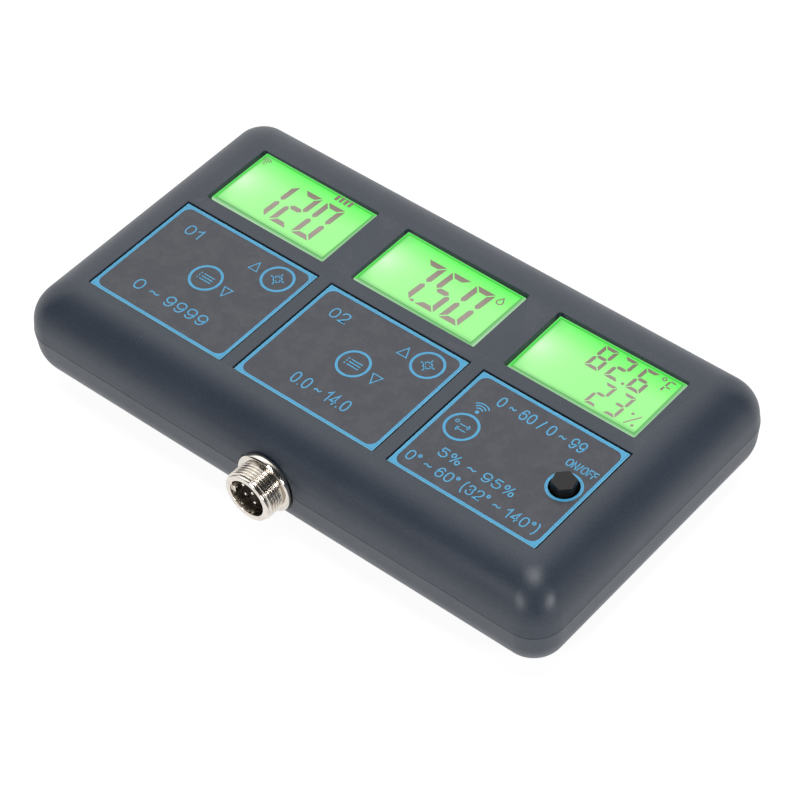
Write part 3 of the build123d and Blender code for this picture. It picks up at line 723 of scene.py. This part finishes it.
def rounded_bar(name, x0, x1, z0, z1, y0, y1, r):
    """A bar along Y with rounded long edges and a rounded front end."""
    cx, cz, hx, hz = (x0 + x1) / 2, (z0 + z1) / 2, (x1 - x0) / 2, (z1 - z0) / 2

    def loop(y, g):
        pts = []
        for sx, sz, a0 in ((1, 1, 0), (-1, 1, 90), (-1, -1, 180), (1, -1, 270)):
            for i in range(4):
                a = radians(a0 + 30 * i)
                pts.append((cx + sx * (hx - r) + (r - g) * cos(a), y, cz + sz * (hz - r) + (r - g) * sin(a)))
        return pts
    loops = [loop(y1, 0.0), loop(y0 + r, 0.0), loop(y0 + r * 0.4, r * 0.2), loop(y0 + r * 0.1, r * 0.5), loop(y0, r * 0.9)]
    return skin(name, loops)


shell = socket_shell()
boolean(shell, joined("ribs", [rounded_bar("r", -6.35, -4.8, Z_SEAM - 1.4, Z_SEAM + 1.0, -59.4, -53.15, 0.18),
                               rounded_bar("r", 5.25, 6.4, Z_SEAM + 0.2, Z_SEAM + 1.6, -59.4, -53.15, 0.18)]), "UNION")
smooth(shell, 40.0, False)
shell.data.materials.append(M["nickel"])
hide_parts("connector_shell")
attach(shell, "case")


# ------------------------------------------------------------------ display glass and film
def panel(name, cx, cy, turn, hx, hy, r, z0, z1, edge):
    """A plate with eased edges that keeps its place across the glass as a map named panel."""
    loops = [rect_loop(hx - edge, hy - edge, r, z0, 4), rect_loop(hx, hy, r, z0 + edge, 4)]
    for i in range(4):
        a = (pi / 2) * i / 3
        loops.append(rect_loop(hx - edge * (1 - cos(a)), hy - edge * (1 - cos(a)), r, z1 - edge + edge * sin(a), 4))
    ob = skin(name, loops)
    place = ob.data.uv_layers.new(name="panel")
    for loop in ob.data.loops:
        co = ob.data.vertices[loop.vertex_index].co
        place.data[loop.index].uv = (co.x / MM / LCD_W + 0.5, co.y / MM / LCD_H + 0.5)
    ob.data.transform(Matrix.Translation((cx * MM, cy * MM, 0)) @ Matrix.Rotation(radians(turn), 4, "Z"))
    return ob


for side, cx, cy, turn in DISPLAYS:
    glass = panel("lcd_glass_" + side, cx, cy, turn, LCD_W / 2, LCD_H / 2, 0.22, 31.3, Z_LCD - 0.15, 0.10)
    smooth(glass, 40.0)
    glass.data.materials.append(M["display_glass"])
    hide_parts("display_glass_" + side)
    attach(glass, "case")
    film = panel("lcd_film_" + side, cx, cy, turn, LCD_W / 2 - FILM_IN, LCD_H / 2 - FILM_IN, 0.1, Z_LCD - 0.15, Z_LCD, 0.04)
    smooth(film, 40.0)
    film.data.materials.append(M["display_film"])
    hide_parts("display_film_" + side)
    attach(film, "case")


# ------------------------------------------------------------------ power button cap
def hexagon_loop(apothem, corner, z, inset=0.0, arc=7):
    """A hexagon with rounded corners about the power button's axis."""
    pts = []
    reach = (apothem - corner) / cos(pi / 6)
    for k in range(6):
        a = radians(44.6) + k * pi / 3
        cx, cy = reach * cos(a), reach * sin(a)
        for i in range(arc + 1):
            b = a - pi / 6 + (pi / 3) * i / arc
            r = corner - inset
            pts.append((POWER[0] + cx + r * cos(b), POWER[1] + cy + r * sin(b), z))
    return pts


top = Z_LABEL + 2.5
loops = [hexagon_loop(3.25, 0.8, 29.9, 0.15), hexagon_loop(3.25, 0.8, 30.05), hexagon_loop(3.25, 0.8, top - 0.25)]
for i in range(1, 6):
    a = (pi / 2) * i / 5
    loops.append(hexagon_loop(3.25, 0.8, top - 0.25 + 0.25 * sin(a), 0.22 * (1 - cos(a))))
cap = skin("power_cap", loops)
boolean(cap, block("socket", POWER[0] - 1.6, POWER[0] + 1.6, POWER[1] - 1.6, POWER[1] + 1.6, 28.0, 33.5))
smooth(cap)
cap.data.materials.append(M["cap"])
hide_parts("power_button_cap")
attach(cap, "power_button")


# ------------------------------------------------------------------ printed line work: thin closed solids on the sheets
def oval(cx, cy, rx, ry, n=22, square=1.0):
    out = []
    for i in range(n):
        a = 2 * pi * i / n
        c, s = cos(a), sin(a)
        out.append((cx + rx * (abs(c) ** square) * (1 if c >= 0 else -1), cy + ry * (abs(s) ** square) * (1 if s >= 0 else -1)))
    return out


def flowing(pts, steps=4):
    """A smooth line through points."""
    out = []
    n = len(pts)
    for i in range(n - 1):
        p0, p1, p2, p3 = pts[max(0, i - 1)], pts[i], pts[i + 1], pts[min(n - 1, i + 2)]
        for k in range(steps):
            t = k / steps
            out.append(tuple(0.5 * (2 * b + (c - a) * t + (2 * a - 5 * b + 4 * c - d) * t * t
                                    + (3 * b - a - 3 * c + d) * t ** 3) for a, b, c, d in zip(p0, p1, p2, p3)))
    out.append(pts[-1])
    return out


_six = [(0.93, 0.84), (0.76, 0.97), (0.50, 1.0), (0.22, 0.90), (0.05, 0.66), (0.0, 0.38), (0.08, 0.13), (0.34, 0.0),
        (0.66, 0.0), (0.93, 0.13), (1.0, 0.32), (0.92, 0.51), (0.66, 0.62), (0.34, 0.60), (0.07, 0.42)]
# each sign: its width, then strokes in a box 1 wide and 1 high
SIGNS = {
    " ": (0.10, []),
    "0": (0.62, [("loop", oval(0.5, 0.5, 0.5, 0.5, 26, 0.86))]),
    "1": (0.34, [("line", [(0.0, 0.74), (0.55, 0.86), (0.95, 1.0), (0.95, 0.0)])]),
    "2": (0.62, [("line", flowing([(0.02, 0.72), (0.12, 0.91), (0.50, 1.0), (0.88, 0.90), (0.95, 0.70), (0.80, 0.46),
                                   (0.40, 0.22), (0.02, 0.0)]) + [(1.0, 0.0)])]),
    "3": (0.62, [("line", flowing([(0.04, 0.78), (0.20, 0.96), (0.52, 1.0), (0.86, 0.90), (0.88, 0.66), (0.62, 0.54),
                                   (0.40, 0.53)])),
                 ("line", flowing([(0.62, 0.54), (0.92, 0.44), (0.98, 0.22), (0.78, 0.03), (0.42, 0.0), (0.12, 0.09),
                                   (0.0, 0.26)]))]),
    "4": (0.64, [("line", [(0.76, 0.0), (0.76, 1.0), (0.0, 0.28), (1.0, 0.28)])]),
    "5": (0.62, [("line", [(0.92, 1.0), (0.18, 1.0), (0.06, 0.50)]),
                 ("line", flowing([(0.06, 0.50), (0.30, 0.62), (0.66, 0.62), (0.96, 0.46), (0.98, 0.22), (0.76, 0.03),
                                   (0.38, 0.0), (0.10, 0.09), (0.0, 0.24)]))]),
    "6": (0.62, [("line", flowing(_six))]),
    "8": (0.62, [("loop", oval(0.5, 0.77, 0.40, 0.23, 20)), ("loop", oval(0.5, 0.27, 0.5, 0.27, 22))]),
    "9": (0.62, [("line", flowing([(1 - x, 1 - y) for x, y in _six]))]),
    ".": (0.10, [("dot", [(0.5, 0.0)])]),
    "~": (0.66, [("line", flowing([(0.0, 0.38), (0.18, 0.50), (0.38, 0.49), (0.62, 0.40), (0.82, 0.38), (1.0, 0.50)]))]),
    "/": (0.34, [("line", [(0.0, 0.0), (1.0, 1.0)])]),
    "%": (0.90, [("line", [(0.26, 0.0), (0.74, 1.0)]), ("loop", oval(0.18, 0.76, 0.17, 0.23, 16)),
                 ("loop", oval(0.82, 0.24, 0.17, 0.23, 16))]),
    "°": (0.26, [("loop", oval(0.5, 0.86, 0.5, 0.14, 14))]),
    "(": (0.18, [("line", flowing([(1.0, 1.12), (0.20, 0.84), (0.0, 0.45), (0.20, 0.08), (1.0, -0.2)]))]),
    ")": (0.18, [("line", flowing([(0.0, 1.12), (0.80, 0.84), (1.0, 0.45), (0.80, 0.08), (0.0, -0.2)]))]),
    "O": (0.86, [("loop", oval(0.5, 0.5, 0.5, 0.5, 26, 0.92))]),
    "N": (0.70, [("line", [(0.0, 0.0), (0.0, 1.0), (1.0, 0.0), (1.0, 1.0)])]),
    "F": (0.58, [("line", [(1.0, 1.0), (0.0, 1.0), (0.0, 0.0)]), ("line", [(0.0, 0.52), (0.85, 0.52)])]),
}


class Ink:
    """Collects flat shapes as thin closed solids between two heights (mm)."""

    def __init__(self, z0, z1):
        self.bm, self.z0, self.z1 = bmesh.new(), z0, z1

    def prism(self, pts):
        lo = [self.bm.verts.new((x * MM, y * MM, self.z0 * MM)) for x, y in pts]
        hi = [self.bm.verts.new((x * MM, y * MM, self.z1 * MM)) for x, y in pts]
        n = len(pts)
        self.bm.faces.new(list(reversed(lo)))
        self.bm.faces.new(hi)
        for i in range(n):
            j = (i + 1) % n
            self.bm.faces.new((lo[i], lo[j], hi[j], hi[i]))

    def ring(self, outer, inner):
        n = len(outer)
        rows = [[self.bm.verts.new((x * MM, y * MM, z * MM)) for x, y in loop]
                for loop, z in ((outer, self.z0), (outer, self.z1), (inner, self.z1), (inner, self.z0))]
        for k in range(4):
            a, b = rows[k], rows[(k + 1) % 4]
            for i in range(n):
                j = (i + 1) % n
                self.bm.faces.new((a[i], a[j], b[j], b[i]))

    def stroke(self, pts, w, closed=False, caps=True):
        """A line of width w along points, with mitred corners and round ends."""
        n = len(pts)
        left, right = [], []
        for i, p in enumerate(pts):
            p = Vector(p)
            a = Vector(pts[(i - 1) % n]) if (closed or i > 0) else None
            b = Vector(pts[(i + 1) % n]) if (closed or i < n - 1) else None
            d0 = (p - a).normalized() if a is not None else (b - p).normalized()
            d1 = (b - p).normalized() if b is not None else d0
            nrm = Vector((-(d0.y + d1.y), d0.x + d1.x))
            nrm.normalize()
            k = (w / 2) / max(0.35, nrm.dot(Vector((-d0.y, d0.x))))
            left.append(tuple(p + nrm * k))
            right.append(tuple(p - nrm * k))
        if closed:
            self.ring(right, left) if self._area(right) > self._area(left) else self.ring(left, right)
            return
        if caps:
            e0 = (Vector(pts[0]) - Vector(pts[1])).normalized()
            e1 = (Vector(pts[-1]) - Vector(pts[-2])).normalized()
            tail = self._fan(pts[-1], e1, w / 2)
            head = self._fan(pts[0], e0, w / 2)
            self.prism(right + tail + list(reversed(left)) + head)
        else:
            self.prism(right + list(reversed(left)))

    @staticmethod
    def _fan(c, d, r):
        a0 = Vector((1, 0)).angle_signed(d)
        base = -a0
        return [(c[0] + r * cos(base + t), c[1] + r * sin(base + t)) for t in (-pi / 3, -pi / 6, 0, pi / 6, pi / 3)]

    @staticmethod
    def _area(loop):
        s = 0.0
        for i in range(len(loop)):
            x0, y0 = loop[i]
            x1, y1 = loop[(i + 1) % len(loop)]
            s += x0 * y1 - x1 * y0
        return abs(s)

    def circle(self, cx, cy, r, w, n=48):
        o = [(cx + (r + w / 2) * cos(2 * pi * i / n), cy + (r + w / 2) * sin(2 * pi * i / n)) for i in range(n)]
        q = [(cx + (r - w / 2) * cos(2 * pi * i / n), cy + (r - w / 2) * sin(2 * pi * i / n)) for i in range(n)]
        self.ring(o, q)

    def dot(self, cx, cy, r, n=20):
        self.prism([(cx + r * cos(2 * pi * i / n), cy + r * sin(2 * pi * i / n)) for i in range(n)])

    def arc(self, cx, cy, r, a0, a1, w, n=14):
        self.stroke([(cx + r * cos(radians(a0 + (a1 - a0) * i / n)), cy + r * sin(radians(a0 + (a1 - a0) * i / n)))
                     for i in range(n + 1)], w)

    def signs(self, body, x0, y0, height, width, w=0.45):
        """Numbers and signs as plain strokes of width w, set from x0 on the base line y0 to fill the width."""
        shares = [SIGNS[c][0] for c in body]
        room = 0.30
        unit = (width - w) / (sum(shares) + room * (len(body) - 1))
        x = x0 + w / 2
        for c, share in zip(body, shares):
            for kind, pts in SIGNS[c][1]:
                at = [(x + px * share * unit, y0 + w / 2 + py * (height - w)) for px, py in pts]
                if kind == "dot":
                    self.dot(*at[0], w * 0.56, 12)
                else:
                    self.stroke(at, w, closed=kind == "loop")
            x += (share + room) * unit

    def done(self, name, body, material):
        bmesh.ops.recalc_face_normals(self.bm, faces=self.bm.faces)
        me = bpy.data.meshes.new(name)
        self.bm.to_mesh(me)
        self.bm.free()
        ob = link(name, me)
        me.materials.append(material)
        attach(ob, body)
        return ob


INK0, INK1 = Z_LABEL - 0.004, Z_LABEL + 0.014


def border(ink, cx):
    """The blue band round a sheet: square outside, rounded inside."""
    hx, hy = LABEL_W / 2 - 0.04, LABEL_H / 2 - 0.04
    w, r, n = 1.05, 2.6, 8
    outer, inner = [], []
    for sx, sy, a0 in ((1, 1, 0), (-1, 1, 90), (-1, -1, 180), (1, -1, 270)):
        for i in range(n + 1):
            a = radians(a0 + 90 * i / n)
            inner.append((cx + sx * (hx - w - r) + r * cos(a), LABEL_Y + sy * (hy - w - r) + r * sin(a)))
            # the outer point slides along the square's corner, so that no two fall together
            t = i / n
            ex, ey = cx + sx * hx, LABEL_Y + sy * hy
            if a0 in (0, 180):
                sideways = t <= 0.5
            else:
                sideways = t > 0.5
            s = abs(t - 0.5) * 2 * (w + r) * 0.9
            outer.append((ex, ey - sy * s) if sideways else (ex - sx * s, ey))
    ink.ring(outer, inner)


def triangle(ink, x0, x1, y_base, y_tip, w):
    xm = (x0 + x1) / 2
    ink.stroke([(x0, y_base), (x1, y_base), (xm, y_tip)], w, closed=True)


def key_ring(ink, x, y, r0, r1, n=72):
    ink.ring([(x + r1 * cos(2 * pi * i / n), y + r1 * sin(2 * pi * i / n)) for i in range(n)],
             [(x + r0 * cos(2 * pi * i / n), y + r0 * sin(2 * pi * i / n)) for i in range(n)])


for k, side in enumerate(("left", "middle", "right")):
    cx = LABEL_X[k]
    ink = Ink(INK0, INK1)
    border(ink, cx)
    for name, x, y in KEYS:
        if abs(x - cx) < LABEL_W / 2:
            key_ring(ink, x, y, 4.738, 5.14)
    if side == "left":
        ink.signs("01", -73.6, -4.4, 4.0, 5.6, 0.42)
        triangle(ink, -48.6, -45.5, -3.7, -0.2, 0.33)
        triangle(ink, -48.6, -45.5, -13.6, -17.1, 0.33)
        ink.signs("0 ~ 9999", -70.2, -29.6, 4.1, 27.0, 0.44)
    elif side == "middle":
        ink.signs("02", -18.3, -4.4, 4.0, 6.4, 0.42)
        triangle(ink, 6.7, 10.1, -3.7, -0.2, 0.33)
        triangle(ink, 6.7, 10.1, -13.6, -17.1, 0.33)
        ink.signs("0.0 ~ 14.0", -10.4, -29.8, 4.3, 20.2, 0.44)
    else:
        key_ring(ink, *POWER, 4.38, 5.24)
        ink.signs("0 ~ 60 / 0 ~ 99", 40.4, -2.5, 3.9, 29.4, 0.44)
        ink.signs("ON/OFF", 68.3, -8.0, 2.8, 10.0, 0.38)
        ink.signs("5% ~ 95%", 39.2, -26.1, 3.4, 25.5, 0.40)
        ink.signs("0° ~ 60° (32° ~ 140°)", 32.9, -32.2, 3.6, 44.2, 0.40)
        # sign for a wireless link
        ink.dot(38.3, -7.55, 0.58)
        for r in (1.50, 2.45, 3.40):
            ink.arc(38.3, -7.55, r, 48, 132, 0.38)
    ink.done("print_" + side, "case", M["ink"])
    # the band's outermost line is paler
    line = Ink(INK0, INK1 + 0.004)
    hx, hy = LABEL_W / 2 - 0.035, LABEL_H / 2 - 0.035
    line.ring([(cx + sx * hx, LABEL_Y + sy * hy) for sx, sy in ((1, 1), (-1, 1), (-1, -1), (1, -1))],
              [(cx + sx * (hx - 0.24), LABEL_Y + sy * (hy - 0.24)) for sx, sy in ((1, 1), (-1, 1), (-1, -1), (1, -1))])
    line.done("print_edge_" + side, "case", M["ink_light"])

for name, x, y in KEYS:
    ink = Ink(INK0, INK1)
    key_ring(ink, x, y, 4.36, 4.726)
    if name.startswith("mode"):
        for i, yy in enumerate((1.05, 0.0, -1.05)):
            ink.dot(x - 2.35, y + yy, 0.26, 14)
            ink.stroke([(x - 1.4, y + yy), (x + 2.4, y + yy)], 0.36)
    elif name.startswith("calibrate"):
        ink.circle(x, y, 1.25, 0.34, 36)
        for dx, dy in ((1, 0), (-1, 0), (0, 1), (0, -1)):
            ink.stroke([(x + dx * 0.75, y + dy * 0.75), (x + dx * 2.3, y + dy * 2.3)], 0.34)
    else:
        ink.circle(x - 2.3, y + 1.15, 0.52, 0.28, 24)
        ink.stroke([(x - 0.9, y + 0.75), (x + 2.5, y + 0.75)], 0.32)
        ink.stroke([(x + 1.6, y + 1.45), (x + 2.5, y + 0.75), (x + 1.6, y + 0.05)], 0.32)
        ink.stroke([(x + 1.9, y - 1.05), (x - 1.5, y - 1.05)], 0.32)
        ink.stroke([(x - 0.6, y - 0.35), (x - 1.5, y - 1.05), (x - 0.6, y - 1.75)], 0.32)
    ink.done("print_" + name, name + "_body", M["ink"])

# ------------------------------------------------------------------ display numerals
SEGMENTS = {"0": "abcdef", "1": "bc", "2": "abdeg", "3": "abcdg", "4": "bcfg", "5": "acdfg", "6": "acdefg",
            "7": "abc", "8": "abcdefg", "9": "abcdfg"}


def numeral(ink, digit, x0, x1, y0, y1, w, slant, gap=0.45):
    """A seven-segment numeral. x0..x1 is its width at the base before it leans."""
    ym = (y0 + y1) / 2
    h = w / 2
    g = gap / sqrt(2)    # between mitred ends

    def put(pts):
        ink.prism([(x + (y - y0) * slant, y) for x, y in pts])

    def upright(outer, inner, y_out, sign):
        """A vertical segment from its mitred outer end to its pointed inner end."""
        mid = (outer + inner) / 2
        put([(outer, y_out - sign * g), (outer, ym + sign * (g + h)), (mid, ym + sign * g),
             (inner, ym + sign * (g + h)), (inner, y_out - sign * (w + g))])
    for s in SEGMENTS[digit]:
        if s == "a":
            put([(x0 + g, y1), (x1 - g, y1), (x1 - w - g, y1 - w), (x0 + w + g, y1 - w)])
        elif s == "d":
            put([(x0 + g, y0), (x1 - g, y0), (x1 - w - g, y0 + w), (x0 + w + g, y0 + w)])
        elif s == "g":
            put([(x0 + h + g, ym), (x0 + w + g, ym + h), (x1 - w - g, ym + h), (x1 - h - g, ym),
                 (x1 - w - g, ym - h), (x0 + w + g, ym - h)])
        elif s == "b":
            upright(x1, x1 - w, y1, 1)
        elif s == "c":
            upright(x1, x1 - w, y0, -1)
        elif s == "f":
            upright(x0, x0 + w, y1, 1)
        elif s == "e":
            upright(x0, x0 + w, y0, -1)


SEG0, SEG1 = Z_LCD - 0.004, Z_LCD + 0.012

ink = Ink(SEG0, SEG1)
numeral(ink, "1", -66.2, -59.4, 14.65, 30.6, 1.78, 0.055)
numeral(ink, "2", -57.5, -50.75, 14.65, 30.6, 1.78, 0.055)
numeral(ink, "0", -48.95, -42.15, 14.65, 30.6, 1.78, 0.055)
# level bars as the unit mark
for i in range(4):
    x = -47.7 + 1.65 * i
    ink.prism([(x, 32.5), (x + 1.05, 32.5), (x + 1.2, 34.8), (x + 0.15, 34.8)])
ink.dot(-74.3, 31.7, 0.32, 14)
for r in (0.95, 1.6, 2.25):
    ink.arc(-74.3, 31.7, r, 48, 132, 0.30, 8)
ink.done("segments_left", "case", M["segment"])

ink = Ink(SEG0, SEG1)
numeral(ink, "7", -11.05, -4.15, 14.1, 30.3, 1.85, 0.085)
numeral(ink, "5", -2.2, 4.70, 14.1, 30.3, 1.85, 0.085)
numeral(ink, "0", 6.6, 13.5, 14.1, 30.3, 1.85, 0.085)
ink.prism(oval(-3.1, 14.6, 0.70, 0.52, 18))
# a droplet as the unit mark
drop = [(17.2, 30.7)] + [(17.1 + 1.0 * cos(radians(a)), 28.85 + 0.9 * sin(radians(a))) for a in range(150, 391, 20)]
ink.stroke(drop, 0.42, closed=True)
ink.done("segments_middle", "case", M["segment"])

ink = Ink(SEG0, SEG1)
for dgt, x, x1 in (("8", 50.2, 54.95), ("2", 56.9, 61.6), ("6", 64.1, 68.85)):
    numeral(ink, dgt, x, x1, 24.2, 33.7, 1.15, 0.07, 0.32)
ink.dot(63.1, 24.8, 0.5, 14)
for dgt, x, x1 in (("2", 58.45, 62.6), ("3", 64.8, 69.0)):
    numeral(ink, dgt, x, x1, 13.2, 22.7, 1.0, 0.07, 0.32)
ink.circle(71.2, 33.15, 0.55, 0.42, 20)
ink.stroke([(73.1, 33.45), (74.8, 33.3)], 0.5, caps=False)
ink.stroke([(72.85, 31.2), (72.98, 33.15)], 0.66, caps=False)
ink.stroke([(72.6, 29.2), (72.72, 30.7)], 0.66, caps=False)
ink.stroke([(73.2, 31.0), (74.45, 31.0)], 0.5, caps=False)
ink.stroke([(71.8, 13.4), (74.7, 18.1)], 0.45, caps=False)
ink.dot(72.0, 17.6, 0.5, 14)
ink.dot(74.3, 14.0, 0.5, 14)
ink.done("segments_right", "case", M["segment"])

# ------------------------------------------------------------------ floor, light
size = 6.0
me = bpy.data.meshes.new("floor")
me.from_pydata([(-size, -size, -0.0002), (size, -size, -0.0002), (size, size, -0.0002), (-size, size, -0.0002)], [], [(0, 1, 2, 3)])
floor = link("floor", me)
fmat = bpy.data.materials.new("floor")
nt = tree_of(fmat)
out = add(nt, "ShaderNodeOutputMaterial")
bsdf = add(nt, "ShaderNodeBsdfPrincipled")
co = add(nt, "ShaderNodeTexCoord").outputs["Object"]
wire(nt, mix(nt, noise(nt, co, 3.0, 2.0), (0.17, 0.17, 0.171), (0.175, 0.175, 0.175)), bsdf.inputs["Base Color"])
bsdf.inputs["Roughness"].default_value = 0.8
bsdf.inputs["Specular IOR Level"].default_value = 0.1
bsdf.inputs["Emission Color"].default_value = (1.0, 1.0, 1.0, 1.0)
bsdf.inputs["Emission Strength"].default_value = 0.92
wire(nt, bsdf.outputs[0], out.inputs["Surface"])
me.materials.append(fmat)

world = bpy.data.worlds.new("studio")
scene.world = world
world.use_nodes = True
nt = world.node_tree
nt.nodes.clear()
out = add(nt, "ShaderNodeOutputWorld")
bg = add(nt, "ShaderNodeBackground")
wire(nt, bg.outputs[0], out.inputs["Surface"])
direction = add(nt, "ShaderNodeTexCoord").outputs["Generated"]
xyz = add(nt, "ShaderNodeSeparateXYZ")
wire(nt, direction, xyz.inputs[0])
backwards = maths(nt, "ADD", maths(nt, "MULTIPLY", xyz.outputs[0], -0.677), maths(nt, "MULTIPLY", xyz.outputs[1], 0.736))
to_back = ranged(nt, backwards, 0.18, 0.56, 0.0, 1.0)
# the backdrop is brightest where it stands opposite the camera
facing = maths(nt, "ADD", maths(nt, "MULTIPLY", backwards, 0.69), maths(nt, "MULTIPLY", xyz.outputs[2], 0.72))
centre = ranged(nt, facing, 0.80, 1.0, 0.0, 0.55)
level = maths(nt, "ADD", 0.03, maths(nt, "MULTIPLY", to_back, maths(nt, "ADD", centre, 1.15)))
wire(nt, level, bg.inputs["Strength"])
bg.inputs["Color"].default_value = (1.0, 1.0, 1.0, 1.0)


def softbox(name, direction, distance, size, watts):
    data = bpy.data.lights.new(name, "AREA")
    data.shape = "DISK"
    data.size = size
    data.energy = watts
    ob = bpy.data.objects.new(name, data)
    scene.collection.objects.link(ob)
    d = Vector(direction).normalized()
    ob.location = d * distance
    ob.rotation_euler = d.to_track_quat("Z", "Y").to_euler()
    ob.visible_camera = False
    return ob


softbox("softbox_top", (0.136, 0.002, 0.991), 1.3, 0.40, 7.0)
softbox("softbox_front", (-0.017, -0.904, 0.428), 1.3, 0.34, 6.0)
softbox("softbox_right", (0.937, 0.0, 0.349), 1.3, 0.34, 6.0)
